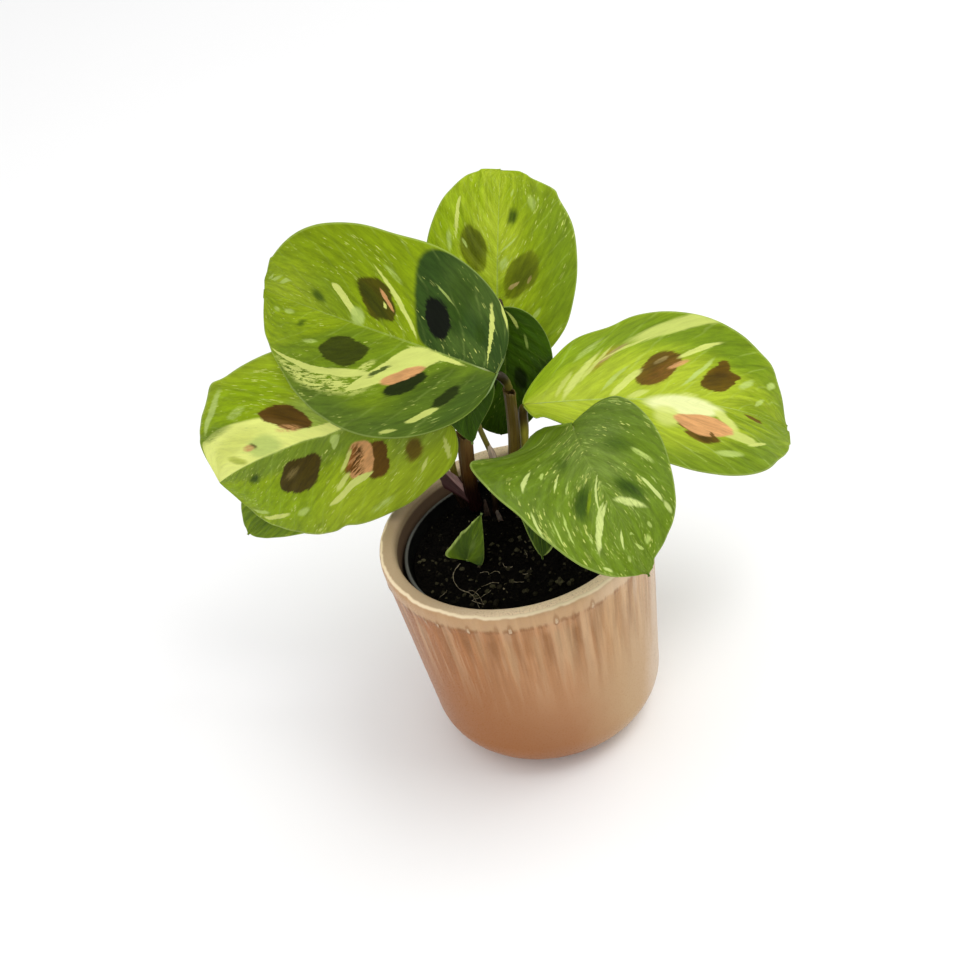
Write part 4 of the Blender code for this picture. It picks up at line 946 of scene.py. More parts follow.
# Free stalks, from the soil or a sheath's mouth to the blade that each one carries
stalkShape = {"sides": 14, "steps": 8, "grooves": 7, "grooveDepth": 0.03, "ribShare": 0.80,
              "ribStops": (0.03, 0.10, 0.22, 0.38, 0.56, 0.74, 0.92), "ribTip": 0.14 * mm,
              "jointLength": 1.35}
stalks = {
    "stalkLargeLeft": dict(
        node="petiole_large_left", leaf="leafLargeLeft", radius=0.0011, swell=1.15, tone=0.9,
        path=((0.0070, 0.0116, 0.1074), (0.0065, 0.0110, 0.1100), (0.0054, 0.0099, 0.1128))),
    "stalkUprightBack": dict(
        node="petiole_upright_back", leaf="leafUprightBack", radius=0.0010, swell=1.2, tone=0.3,
        path=((0.0008, 0.0255, 0.0626), (0.0040, 0.0310, 0.0700), (0.0066, 0.0358, 0.0795),
              (0.0066, 0.0366, 0.0900), (0.0058, 0.0362, 0.0972))),
    "stalkShadedMiddle": dict(
        node="petiole_shaded_middle", leaf="leafShadedMiddle", radius=0.0009, swell=1.2,
        tone=0.5,
        path=((0.0035, 0.0245, 0.0626), (0.0065, 0.0305, 0.0710), (0.0088, 0.0346, 0.0800),
              (0.0096, 0.0337, 0.0920), (0.0099, 0.0332, 0.1060), (0.0099, 0.0331, 0.1170),
              (0.0097, 0.0327, 0.1224))),
    "stalkTuckedUnder": dict(
        node="petiole_tucked_under", leaf="leafTuckedUnder", radius=0.0008, swell=1.15,
        tone=0.7,
        path=((-0.0042, 0.0236, 0.0626), (-0.0012, 0.0196, 0.0773), (-0.0022, 0.0186, 0.0845),
              (-0.0036, 0.0192, 0.0930), (-0.0046, 0.0208, 0.1060), (-0.0046, 0.0194, 0.1140),
              (-0.0045, 0.0174, 0.1172))),
    "stalkLowerLeft": dict(
        node="petiole_lower_left", leaf="leafLowerLeft", radius=0.0010, swell=1.2, tone=0.1,
        path=((-0.0126, 0.0236, 0.0626), (-0.0137, 0.0222, 0.0750), (-0.0134, 0.0202, 0.0830),
              (-0.0124, 0.0180, 0.0910), (-0.0117, 0.0161, 0.0982))),
    "stalkBehindLowerLeft": dict(
        node="petiole_behind_lower_left", leaf="leafBehindLowerLeft", radius=0.0009, swell=1.1,
        tone=0.4,
        path=((-0.0136, 0.0232, 0.0626), (-0.0156, 0.0222, 0.0720), (-0.0178, 0.0220, 0.0790),
              (-0.0208, 0.0226, 0.0826), (-0.0240, 0.0234, 0.0840))),
    "stalkRight": dict(
        node="petiole_right", leaf="leafRight", radius=0.0011, swell=1.2, tone=0.0,
        path=((0.0046, 0.0207, 0.0626), (0.0077, 0.0183, 0.0805), (0.0089, 0.0168, 0.0891),
              (0.0098, 0.0155, 0.0970))),
    "stalkDroopingFront": dict(
        node="petiole_drooping_front", leaf="leafDroopingFront", radius=0.0010, swell=1.2,
        tone=0.3,
        path=((-0.0045, 0.0172, 0.0626), (-0.0025, 0.0152, 0.0720), (0.0060, 0.0104, 0.0835),
              (0.0150, 0.0056, 0.0897), (0.0202, 0.0041, 0.0938))),
    "stalkLowBehindFront": dict(
        node="petiole_low_behind_front", leaf="leafLowBehindFront", radius=0.0007, swell=1.1,
        tone=0.3,
        path=((0.0010, 0.0150, 0.0624), (0.0034, 0.0135, 0.0700), (0.0050, 0.0112, 0.0785))),
}


stalkTones = {"young": ((0.48, 0.45, 0.05), (0.055, 0.040, 0.008)), "streak": (0.10, 0.06, 0.01),
              "joint": ((0.075, 0.045, 0.010), (0.010, 0.007, 0.002)), "red": (0.070, 0.018, 0.012),
              "paintedSoilShade": (0.008, 0.004, 0.003), "rib": (0.27, 0.34, 0.12)}


def tubeLines(tree, across, lengthwise):
    # streaks that run along a swept tube
    at = joinVector(tree, readLayer(tree, "around"), readLayer(tree, "along"))
    inputs = {"Place": at, "Across": across, "Along": lengthwise}
    return useGroup(tree, fineStreaks, inputs)["Lines"]


def makeStalkFinish(name, tone):
    # yellow-green above, red-brown towards the soil and near black just above it as painted shade,
    # with a browner joint under the blade
    material, tree, shader = newMaterial(name + "Finish", roughness=0.42, specular=0.22)
    height = splitVector(tree, objectPlace(tree))[2]
    lines = tubeLines(tree, 9.0, 6.0)
    young, joint = ([a + (b - a) * tone for a, b in zip(*stalkTones[key])]
                    for key in ("young", "joint"))
    red = ramp(tree, calc(tree, "MULTIPLY_ADD", lines, 0.012, height), 0.070, 0.092, 0.85, 0.0)
    colour = blendColours(tree, ramp(tree, lines, 0.3, 0.75, 0.0, 0.5), young,
                          stalkTones["streak"])
    colour = layerUp(
        tree, colour, (red, stalkTones["red"]),
        # the near black just above the soil is painted shade under the leaves
        (ramp(tree, height, 0.0670, 0.0760, 0.9, 0.0), stalkTones["paintedSoilShade"]),
        (times(tree, readLayer(tree, "joint"), 0.95), joint),
        (readLayer(tree, "rib"), stalkTones["rib"]))
    applyFinish(tree, shader, colour, lines, 0.08 * mm)
    return material


def makeStalk(name, stalk):
    leaf, frames = leaves[stalk["leaf"]], ribFrames[stalk["leaf"]]
    stops = stalkShape["ribStops"]
    free, ribs = len(stalk["path"]) - 1, len(stops)
    points, radii = list(stalk["path"]), []
    for share in stops:
        point, along, up, left = frameAt(frames, share)
        thin = stalk["radius"] * stalkShape["ribShare"] * (1 - share)
        drop = bladeShape["grooveDepth"] * (1 - share) + bladeShape["thickness"] + thin * 0.45
        points.append(point - up * drop)
    path = smoothPath(points, stalkShape["steps"])
    bm = bmesh.new()
    for i in range(len(path)):
        place = i / stalkShape["steps"]
        if place <= free:
            joint = math.exp(-((free - place) / stalkShape["jointLength"]) ** 4)
            radii.append(stalk["radius"] * (1 + (stalk["swell"] - 1) * 1.3 * joint))
        else:
            share = (place - free) / ribs
            ease = min(1.0, (place - free) * 1.5)
            wide = stalk["radius"] * (1 - share) ** 1.1 * (1.15 - 0.40 * ease)
            radii.append(wide + stalkShape["ribTip"])
    sweptTube(bm, path, radii, stalkShape["sides"], stalkShape["grooves"],
              stalkShape["grooveDepth"])
    along, jointLayer, ribLayer = (floatLayer(bm, key) for key in ("along", "joint", "rib"))
    for vert in bm.verts:
        place = vert[along] * (free + ribs)
        vert[jointLayer] = math.exp(-((free - 0.1 - place) / 0.75) ** 4)
        vert[ribLayer] = min(1.0, max(0.0, (place - free - 0.6) * 1.2))
    finishPiece(name, bm, [makeStalkFinish(name, stalk["tone"])], (stalk["node"],))


for name, stalk in stalks.items():
    makeStalk(name, stalk)
print("stalks:", len(stalks))

# Sheaths wrap the lower stalks and end in a slanted, papery mouth
sheaths = {
    "sheathLeft": dict(
        node="sheath_left", foot=0.0021, mouth=0.0023, slant=2.2 * mm, low=(0.070, 0.008, 0.008),
        middle=(0.100, 0.042, 0.008), high=(0.190, 0.105, 0.030),
        path=((-0.0098, 0.0212, 0.0626), (-0.0100, 0.0200, 0.0708), (-0.0094, 0.0186, 0.0800),
              (-0.0086, 0.0172, 0.0880), (-0.0080, 0.0164, 0.0925))),
    "sheathCentre": dict(
        node="sheath_centre", foot=0.0017, mouth=0.0016, slant=2.0 * mm, low=(0.090, 0.035, 0.014),
        middle=(0.140, 0.095, 0.014), high=(0.115, 0.075, 0.014),
        path=((0.0000, 0.0204, 0.0626), (0.0044, 0.0174, 0.0810), (0.0060, 0.0145, 0.0930),
              (0.0069, 0.0117, 0.1065))),
}


sheathShape = {"sides": 44, "steps": 14, "grooves": 11, "grooveDepth": 0.045, "mouthShare": 0.14,
               "thickness": 0.22 * mm}
sheathTones = {"pale": (0.19, 0.15, 0.05), "dark": (0.020, 0.008, 0.006),
               "mouth": (0.085, 0.055, 0.03), "paintedSoilShade": (0.006, 0.001, 0.001)}


def makeSheathFinish(name, look):
    material, tree, shader = newMaterial(name + "Finish", roughness=0.45, specular=0.22)
    lines = tubeLines(tree, 14.0, 2.5)
    at = calc(tree, "MULTIPLY_ADD", lines, 0.16, readLayer(tree, "along"))
    height = splitVector(tree, objectPlace(tree))[2]
    colour = layerUp(
        tree, blendColours(tree, ramp(tree, at, 0.10, 0.50), look["low"], look["middle"]),
        (ramp(tree, at, 0.50, 1.05), look["high"]),
        (ramp(tree, lines, 0.52, 0.74, 0.0, 0.5), sheathTones["pale"]),
        (ramp(tree, lines, 0.30, 0.45, 0.6, 0.0), sheathTones["dark"]),
        (ramp(tree, at, 1.06, 1.14, 0.0, 0.7), sheathTones["mouth"]),
        # the near black just above the soil is painted shade under the leaves
        (ramp(tree, height, 0.0700, 0.0805, 0.92, 0.0), sheathTones["paintedSoilShade"]))
    applyFinish(tree, shader, colour, lines, 0.15 * mm)
    return material


def makeSheath(name, sheath):
    path = smoothPath(sheath["path"], sheathShape["steps"])
    last = len(path) - 1
    radii = [sheath["foot"] + (sheath["mouth"] - sheath["foot"]) * i / last
             for i in range(last + 1)]
    bm = bmesh.new()
    sweptTube(bm, path, radii, sheathShape["sides"], sheathShape["grooves"],
              sheathShape["grooveDepth"], capped=False)
    along, around = floatLayer(bm, "along"), floatLayer(bm, "around")
    top = (path[-1] - path[-3]).normalized()
    for vert in bm.verts:
        near = max(0.0, 1 - (1 - vert[along]) / sheathShape["mouthShare"])
        ragged = noise.noise(Vector((vert[around] * 9, near, sheath["foot"] * 900)))
        tilt = vert[around] * sheath["slant"] + ragged * 0.5 * mm
        vert.co += top * (near ** 2 * (tilt - 0.5 * sheath["slant"]))
        vert.co += (vert.co - path[min(last, round(vert[along] * last))]) * 0.10 * near ** 3
    piece = finishPiece(name, bm, [makeSheathFinish(name, sheath)], (sheath["node"],))
    addWall(piece, sheathShape["thickness"])


for name, sheath in sheaths.items():
    makeSheath(name, sheath)
print("sheaths:", len(sheaths))

# Dry papery scales at the foot of the stalks, curled round them; dark is where across the scale
# its shaded side starts
scales = {
    "paperyScaleLeft": dict(
        node="papery_sheath_left", start=(-0.0090, 0.0196, 0.0640), end=(-0.0166, 0.0200, 0.0786),
        footWidth=0.0009, topWidth=0.0034, curl=120, tone=(0.75, 0.47, 0.44),
        edge=(0.060, 0.012, 0.014), dark=0.46),
    "paperyScaleSmall": dict(
        node="papery_sheath_small", start=(-0.0010, 0.0176, 0.0740), end=(-0.0019, 0.0164, 0.0872),
        footWidth=0.0019, topWidth=0.0013, curl=150, tone=(0.92, 0.74, 0.56),
        edge=(0.50, 0.36, 0.24), dark=1.2),
    "paperyScaleFront": dict(
        node="papery_sheath_front", start=(-0.0071, 0.0165, 0.0622), end=(-0.0068, 0.0150, 0.0695),
        footWidth=0.0012, topWidth=0.0005, curl=130, tone=(0.13, 0.085, 0.06),
        edge=(0.05, 0.03, 0.02), dark=1.2),
    "dryBract": dict(
        node="dry_bract", start=(-0.0036, 0.0125, 0.0623), end=(-0.0040, 0.0118, 0.0668),
        footWidth=0.0008, topWidth=0.0007, curl=110, tone=(0.33, 0.27, 0.21),
        edge=(0.18, 0.12, 0.08), dark=1.2),
}


def makeScaleFinish(name, look):
    material, tree, shader = newMaterial(name + "Finish", roughness=0.55, specular=0.35)
    uv = addNode(tree, "ShaderNodeUVMap", uv_map="scaleMap").outputs["UV"]
    across, upward = splitVector(tree, uv)[:2]
    lines = useGroup(tree, fineStreaks, {"Place": uv, "Across": 16.0, "Along": 2.0})["Lines"]
    fromMiddle = calc(tree, "ABSOLUTE", calc(tree, "SUBTRACT", across, 0.5))
    rim = ramp(tree, calc(tree, "MULTIPLY_ADD", lines, 0.05, fromMiddle), 0.40, 0.50)
    foot = ramp(tree, calc(tree, "MULTIPLY_ADD", lines, 0.12, upward), 0.05, 0.35, 0.8, 0.0)
    shaded = ramp(tree, calc(tree, "MULTIPLY_ADD", lines, 0.10, across), look["dark"],
                  look["dark"] + 0.12, 0.0, 0.85)
    colour = layerUp(
        tree, blendColours(tree, ramp(tree, lines, 0.35, 0.7), look["tone"],
                           [c * 0.55 for c in look["tone"]]),
        (rim, look["edge"]), (foot, look["edge"]), (shaded, look["edge"]))
    applyFinish(tree, shader, colour, lines, 0.12 * mm)
    letLightThrough(tree, shader, colour, 0.2)
    return material


def makeScale(name, scale, seed):
    start, end = Vector(scale["start"]), Vector(scale["end"])
    along = end - start
    side = along.cross(Vector((0, 1, 0))).normalized()
    front = side.cross(along).normalized()
    bm = bmesh.new()
    bmesh.ops.create_grid(bm, x_segments=16, y_segments=28, size=0.5)
    scaleMap = bm.loops.layers.uv.new("scaleMap")
    for face in bm.faces:
        for loop in face.loops:
            loop[scaleMap].uv = (loop.vert.co.x + 0.5, loop.vert.co.y + 0.5)
    curl = math.radians(scale["curl"])
    for vert in bm.verts:
        across, up = vert.co.x, vert.co.y + 0.5
        wide = scale["footWidth"] + (scale["topWidth"] - scale["footWidth"]) * up ** 1.2
        ragged = noise.noise(Vector((across * 9, 3.0, seed)))
        crumple = noise.noise(Vector((across * 5, up * 5, seed + 4)))
        radius = 2 * wide / curl
        angle = across * curl
        reach = up * (1 - 0.22 * abs(across * 2) ** 2 * up + 0.10 * ragged * up)
        vert.co = (start + along * reach + side * (radius * math.sin(angle))
                   + front * (radius * (math.cos(angle) - 1) + 0.25 * mm * crumple))
    piece = finishPiece(name, bm, [makeScaleFinish(name, scale)],
                        (scale["node"],))
    addWall(piece, 0.14 * mm, offset=0.0)


for index, (name, scale) in enumerate(scales.items()):
    makeScale(name, scale, seed=5.3 * (index + 1))
print("papery scales:", len(scales))

# The glazed cover pot
potShape = {"height": 0.070, "rim": 0.0394, "taper": 0.082, "corner": 0.0148, "wall": 0.0047,
            "floor": 0.0050, "steps": 480, "beads": 42, "beadDrop": 5.6 * mm,
            "beadHeight": 0.32 * mm, "rollHeight": 0.20 * mm, "runHeight": 0.10 * mm,
            "dripRadius": 38.0}  # in millimetres, where the drips are measured
potTones = {
    "body": (0.485, 0.252, 0.119), "deep": (0.32, 0.132, 0.050), "warm": (0.47, 0.305, 0.160),
    "left": (0.35, 0.132, 0.038), "pale": (0.57, 0.44, 0.32), "pink": (0.56, 0.36, 0.20),
    "brown": (0.23, 0.095, 0.026), "rust": (0.31, 0.13, 0.04), "tan": (0.50, 0.29, 0.13),
    "band": (0.57, 0.37, 0.195), "bead": (0.70, 0.54, 0.36), "line": (0.92, 0.76, 0.50),
    "lip": (0.46, 0.34, 0.205), "bright": (1.0, 0.77, 0.52), "speckle": (0.44, 0.27, 0.14),
    "inside": (0.16, 0.10, 0.06), "foot": (0.42, 0.33, 0.24),
}


def arcPoints(centre, radius, start, end, steps, squareness=2.0):
    points = []
    for i in range(steps + 1):
        angle = math.radians(start + (end - start) * i / steps)
        c, s = math.cos(angle), math.sin(angle)
        bulge = (abs(c) ** squareness + abs(s) ** squareness) ** (-1 / squareness)
        points.append((centre[0] + radius * bulge * c, centre[1] + radius * bulge * s))
    return points


def linePoints(start, end, steps):
    return [(start[0] + (end[0] - start[0]) * i / steps, start[1] + (end[1] - start[1]) * i / steps)
            for i in range(1, steps)]


def spinProfile(bm, profile, steps):
    points = [bm.verts.new((r, 0.0, z)) for r, z in profile]
    edges = [bm.edges.new(pair) for pair in zip(points, points[1:])]
    bmesh.ops.spin(bm, geom=points + edges, cent=(0, 0, 0), axis=(0, 0, 1), angle=math.tau,
                   steps=steps, use_merge=True)
    bmesh.ops.remove_doubles(bm, verts=bm.verts, dist=1e-6)
    bmesh.ops.recalc_face_normals(bm, faces=bm.faces)
    bm.normal_update()


def ringNoise(angle, around, z, seed):
    return noise.noise(Vector((math.cos(angle) * around, math.sin(angle) * around, z + seed)))


def makeCoverPot():
    shape = potShape
    lip = shape["wall"] / 2
    cornerRadius = shape["rim"] - shape["taper"] * (shape["height"] - shape["corner"])
    innerCorner, innerFoot = shape["corner"] - shape["wall"], cornerRadius - shape["wall"]
    lipCentre = (shape["rim"] - lip, shape["height"] - lip)
    profile = [(0.0, 0.0), (0.008, 0.0), (0.015, 0.0)]
    corner = arcPoints((cornerRadius - shape["corner"], shape["corner"]), shape["corner"],
                       -90, 0, 22)
    profile += corner
    profile += linePoints(corner[-1], (shape["rim"], lipCentre[1]), 82)
    profile += arcPoints(lipCentre, lip, 0, 180, 26, 2.9)
    inner = arcPoints((innerFoot - innerCorner, shape["floor"] + innerCorner), innerCorner,
                      0, -90, 8)
    profile += linePoints((lipCentre[0] - lip, lipCentre[1]), inner[0], 24)
    profile += inner + [(0.010, shape["floor"]), (0.0, shape["floor"])]
    bm = bmesh.new()
    spinProfile(bm, profile, shape["steps"])
    chance = random.Random(41)
    beads = [(chance.uniform(-0.3, 0.3), chance.uniform(-0.9, 0.9) * mm,
              chance.uniform(0.8, 1.2) * mm, chance.choice((0.0, 0.5, 0.8, 1.0, 1.0)))
             for i in range(shape["beads"])]
    down, bead = floatLayer(bm, "down"), floatLayer(bm, "bead")
    lipTop = shape["height"]
    for vert in bm.verts:
        radius, z = math.hypot(vert.co.x, vert.co.y), vert.co.z
        angle = math.atan2(vert.co.y, vert.co.x)
        rise, reach = z - lipCentre[1], radius - lipCentre[0]
        outward = vert.normal.dot(Vector((vert.co.x, vert.co.y, 0.0))) > 0 or vert.normal.z < -0.5
        if rise > 0:
            below = lip * (1 - math.atan2(rise, reach) / (math.pi / 2))
        else:
            below = lipTop - z if outward else rise - lip
        vert[down] = below / mm
        if below < -0.5 * mm or z < 1.0 * mm:
            continue
        ease = min(1.0, (below + 0.5 * mm) / (1.2 * mm))
        place = (angle / math.tau + 0.5) * shape["beads"]
        index = int(place) % shape["beads"]
        shift, drop, size, strength = beads[index]
        sideways = (place - int(place) - 0.5 - shift) * math.tau * shape["rim"] / shape["beads"]
        fall = below - shape["beadDrop"] - drop
        drawn = 1.0 if fall > 0 else 2.2
        dot = math.exp(-(sideways / (size * 0.62)) ** 2 - (fall / (size * drawn)) ** 2)
        vert[bead] = dot * strength
        edge = shape["beadDrop"] + 0.7 * mm * ringNoise(angle, 14, 0, 2.0)
        roll = 1 / (1 + math.exp((below - edge) / (0.35 * mm)))
        fade = math.exp(-((below - 14 * mm) / (14 * mm)) ** 2)
        runs = ringNoise(angle, 16, z * 18, 5.0) + 0.5 * ringNoise(angle, 38, z * 30, 9.0)
        waves = 0.10 * mm * ringNoise(angle, 1.7, z * 30, 13.0)
        crest = math.exp(-((below - 1.3 * mm) / (0.5 * mm)) ** 2) * (
            0.10 * mm + 0.10 * mm * ringNoise(angle, 9, 0, 21.0))
        vert.co += vert.normal * ease * (
            shape["beadHeight"] * vert[bead] + shape["rollHeight"] * (roll - 0.5)
            + shape["runHeight"] * runs * fade + waves + crest)
    finishPiece("coverPot", bm, [makeGlaze()], ("cover_pot",))


# Long drips in the glaze: (degrees round from +X, top, bottom, half width in mm, tone, strength)
glazeDrips = (
    (-130, 61, 46, 1.2, "rust", 0.35), (-121, 61, 48, 0.9, "brown", 0.35),
    (-116, 62, 44, 1.4, "tan", 0.4), (-110, 61, 50, 0.8, "brown", 0.35),
    (-104, 61, 38, 1.2, "tan", 0.4), (-101, 61, 46, 0.8, "rust", 0.4),
    (-96, 61, 44, 1.0, "rust", 0.35), (-92, 62, 34, 1.0, "warm", 0.45),
    (-87, 62, 43, 0.8, "brown", 0.55), (-83, 62, 46, 0.8, "warm", 0.6),
    (-79, 62, 38, 1.2, "warm", 0.6), (-75, 61, 44, 0.8, "brown", 0.6),
    (-71, 64, 36, 1.0, "pink", 0.55), (-67, 66, 26, 1.0, "brown", 0.40),
    (-58, 65, 12, 4.0, "tan", 0.45), (-50, 68, 34, 1.3, "pink", 0.75),
    (-46, 69, 37, 1.2, "brown", 0.70), (-42, 66, 48, 0.8, "pale", 0.60),
    (-38, 69, 28, 1.8, "pink", 0.6), (-33, 67, 40, 0.7, "brown", 0.5),
    (-24, 68, 22, 2.4, "pale", 0.5), (-14, 66, 38, 1.0, "brown", 0.4),
    (15, 66, 34, 1.2, "brown", 0.5), (27, 66, 40, 2.0, "pale", 0.4),
    (44, 64, 44, 1.2, "rust", 0.5), (62, 64, 34, 1.6, "pink", 0.5),
    (80, 62, 40, 1.2, "brown", 0.5), (104, 62, 34, 1.8, "pink", 0.5),
    (122, 62, 44, 1.0, "rust", 0.5), (141, 64, 36, 1.4, "brown", 0.5),
    (158, 62, 42, 1.6, "pink", 0.5), (173, 62, 40, 1.0, "rust", 0.5),
    (-172, 62, 42, 1.4, "warm", 0.5), (-158, 62, 44, 1.0, "brown", 0.4),
    (-145, 61, 46, 1.4, "warm", 0.5),
)


def makeDripGroup():
    # one run of glaze down the wall, at a place round the pot
    tree, given, result = newGroup(
        "glazeDrip", {"Ring": None, "Height": 0.0, "Toward": None, "Width": 1.0, "Top": 60.0,
                      "Bottom": 40.0, "Wander": 0.0}, {"Mask": "Float"})
    apart = vectorCalc(tree, "DISTANCE", given["Ring"], given["Toward"], output="Value")
    arc = times(tree, apart, potShape["dripRadius"])
    fall = calc(tree, "DIVIDE", calc(tree, "SUBTRACT", given["Height"], given["Bottom"]),
                calc(tree, "SUBTRACT", given["Top"], given["Bottom"]))
    wide = calc(tree, "MULTIPLY", given["Width"], ramp(tree, fall, 0.0, 0.8, 0.5, 1.2))
    wide = calc(tree, "MULTIPLY", wide, calc(tree, "MULTIPLY_ADD", given["Wander"], 2.0, 0.1))
    core = ramp(tree, calc(tree, "DIVIDE", arc, wide), 0.1, 1.6, 1.0, 0.0)
    ends = calc(tree, "MULTIPLY", ramp(tree, fall, 0.0, 0.8), ramp(tree, fall, 0.9, 1.05, 1.0, 0.0))
    tree.links.new(calc(tree, "MULTIPLY", core, ends), result["Mask"])
    return tree


glazeDrip = makeDripGroup()


def makeGlaze():
    material, tree, shader = newMaterial("potGlaze", roughness=0.36, specular=0.14, coat=0.03)
    shader.inputs["Coat Roughness"].default_value = 0.12
    place = placeInMm(tree)
    x, y, z = splitVector(tree, place)
    ring = vectorCalc(tree, "NORMALIZE", joinVector(tree, x, y))
    ringX, ringY, _ = splitVector(tree, ring)
    down = readLayer(tree, "down")
    bead = readLayer(tree, "bead")

    def ringField(around, upward, detail=3.0):
        at = joinVector(tree, calc(tree, "MULTIPLY", ringX, around),
                        calc(tree, "MULTIPLY", ringY, around), calc(tree, "MULTIPLY", z, upward))
        return noiseAt(tree, at, 1.0, detail, 0.6)

    grain = noiseAt(tree, place, 2.4, 3.0, 0.7)
    speck = noiseAt(tree, place, 1.1, 4.0, 0.75)
    broad = ringField(1.6, 0.03)
    runs = ringField(12.0, 0.025, 3.0)
    threads = ringField(26.0, 0.05, 2.0)
    toRight = calc(tree, "MULTIPLY_ADD", broad, 0.5, ringX)
    # the body darkens towards the bottom and the left as painted shade, and grows warmer and paler
    # towards the right, partly the glaze's own tone and partly painted light
    colour = blendColours(tree, ramp(tree, calc(tree, "MULTIPLY_ADD", toRight, 14.0, z), 4.0, 58.0),
                          potTones["deep"], potTones["body"])
    colour = blendColours(tree, ramp(tree, toRight, 0.30, 0.95), colour, potTones["warm"])
    colour = blendColours(tree, ramp(tree, toRight, 1.02, 1.26, 0.0, 0.8), colour,
                          potTones["pale"])
    # the left side: painted shade
    colour = blendColours(tree, ramp(tree, toRight, -0.50, 0.25, 0.9, 0.0), colour,
                          potTones["left"])
    upper = ramp(tree, z, 24.0, 58.0)
    for low, high, tone, strength in ((0.50, 0.60, "rust", 0.45), (0.50, 0.42, "pink", 0.45)):
        streak = ramp(tree, runs, low, high, 0.0, strength)
        colour = blendColours(tree, calc(tree, "MULTIPLY", upper, streak), colour, potTones[tone])
    wander = ringField(9.0, 0.12, 3.0)
    sideStep = calc(tree, "MULTIPLY", calc(tree, "SUBTRACT", wander, 0.5), 0.05)
    wandered = vectorCalc(tree, "ADD", ring, joinVector(tree, sideStep, sideStep))
    for degrees, top, bottom, width, tone, strength in glazeDrips:
        angle = math.radians(degrees)
        mask = useGroup(tree, glazeDrip, {
            "Ring": wandered, "Height": z, "Toward": (math.cos(angle), math.sin(angle), 0.0),
            "Width": width, "Top": float(top), "Bottom": float(bottom), "Wander": threads})["Mask"]
        colour = layerUp(tree, colour, (times(tree, mask, 0.85 * strength), potTones[tone]))
    fringe = calc(tree, "MULTIPLY", ramp(tree, z, 30.0, 60.0),
                  ramp(tree, threads, 0.34, 0.66, 0.11, -0.11))
    fringe = calc(tree, "ADD", fringe, 1.0)
    colour = vectorCalc(tree, "MULTIPLY", colour, joinVector(tree, fringe, fringe, fringe))
    colour = blendColours(tree, ramp(tree, speck, 0.62, 0.75, 0.0, 0.25), colour,
                          potTones["brown"])

    # the roll of thicker glaze under the lip, its beads, and the pale line along the lip's edge,
    # partly where the glaze breaks and partly painted highlight
    edge = calc(tree, "MULTIPLY_ADD", ringField(14.0, 0.0), 2.6, 3.9)
    inBand = ramp(tree, calc(tree, "SUBTRACT", down, edge), -0.9, 0.5, 1.0, 0.0)
    mottled = blendColours(tree, ramp(tree, noiseAt(tree, place, 0.45, 4.0, 0.7), 0.42, 0.66),
                           potTones["band"], potTones["pink"])
    mottled = blendColours(tree, ramp(tree, grain, 0.58, 0.68, 0.0, 0.5), mottled,
                           potTones["speckle"])
    # the band lightens towards the right as painted light
    mottled = blendColours(tree, ramp(tree, ringX, 0.25, 0.60, 0.0, 0.75), mottled,
                           potTones["bead"])
    colour = layerUp(tree, colour, (times(tree, inBand, 0.75), mottled))
    between = ramp(tree, calc(tree, "ABSOLUTE", calc(tree, "SUBTRACT", down, edge)), 0.2, 1.3,
                   0.5, 0.0)
    between = calc(tree, "MULTIPLY", between, ramp(tree, threads, 0.40, 0.60))
    colour = blendColours(tree, between, colour, potTones["brown"])
    colour = blendColours(tree, ramp(tree, bead, 0.06, 0.35, 0.0, 0.45), colour,
                          potTones["brown"])
    # pale centres on the beads: painted highlight
    glint = calc(tree, "MULTIPLY", ramp(tree, bead, 0.45, 0.80), ramp(tree, grain, 0.36, 0.52))
    colour = layerUp(tree, colour, (times(tree, glint, 0.75), potTones["bead"]))
    waved = calc(tree, "MULTIPLY_ADD", ringField(7.0, 0.0, 2.0), 0.8, 0.65)
    fromLine = calc(tree, "SUBTRACT", down, waved)
    onLip = ramp(tree, fromLine, -0.40, 0.0, 1.0, 0.0)
    # the lip is lighter at the front and right as painted light, and darker on the left as painted
    # shade
    lipColour = blendColours(tree, ramp(tree, ringX, -0.80, -0.05), potTones["lip"],
                             potTones["bright"])
    lipColour = blendColours(tree, ramp(tree, noiseAt(tree, place, 2.0, 4.0, 0.75), 0.50, 0.66,
                                        0.0, 0.58), lipColour, potTones["speckle"])
    colour = blendColours(tree, onLip, colour, lipColour)
    # the pale line: partly the glaze breaking, partly painted highlight
    line = ramp(tree, calc(tree, "ABSOLUTE", fromLine), 0.08, 0.40, 0.95, 0.0)
    colour = blendColours(tree, line, colour, potTones["line"])
    # the inner wall below the lip is dark as painted shade
    inside = ramp(tree, down, -3.4, -2.2, 1.0, 0.0)
    colour = blendColours(tree, inside, colour, potTones["inside"])
    foot = ramp(tree, z, 0.4, 1.2, 1.0, 0.0)
    colour = blendColours(tree, foot, colour, potTones["foot"])
    rough = calc(tree, "ADD", ramp(tree, grain, 0.3, 0.7, 0.24, 0.40),
                 calc(tree, "MULTIPLY", calc(tree, "MAXIMUM", onLip, foot), 0.25))
    tree.links.new(rough, shader.inputs["Roughness"])
    applyFinish(tree, shader, colour, calc(tree, "MULTIPLY_ADD", speck, 0.6, grain), 0.05 * mm)
    return material


makeCoverPot()
print("cover pot")

# The thin plastic nursery pot, with a rolled rim
linerShape = {"top": 0.0645, "bottom": 0.0053, "topRadius": 0.0328, "bottomRadius": 0.0215,
              "wall": 0.0008, "rimDepth": 0.0028, "rimOut": 0.0005, "steps": 256,
              "drainRadius": 0.0030, "drainRing": 0.0140}
linerTones = {"base": (0.003, 0.003, 0.003), "cloud": (0.007, 0.007, 0.006),
              "unshadedRim": (0.17, 0.17, 0.15), "dust": (0.030, 0.022, 0.015)}


def linerRadius(z):
    share = (z - linerShape["bottom"]) / (linerShape["top"] - linerShape["bottom"])
    return linerShape["bottomRadius"] + share * (
        linerShape["topRadius"] - linerShape["bottomRadius"])


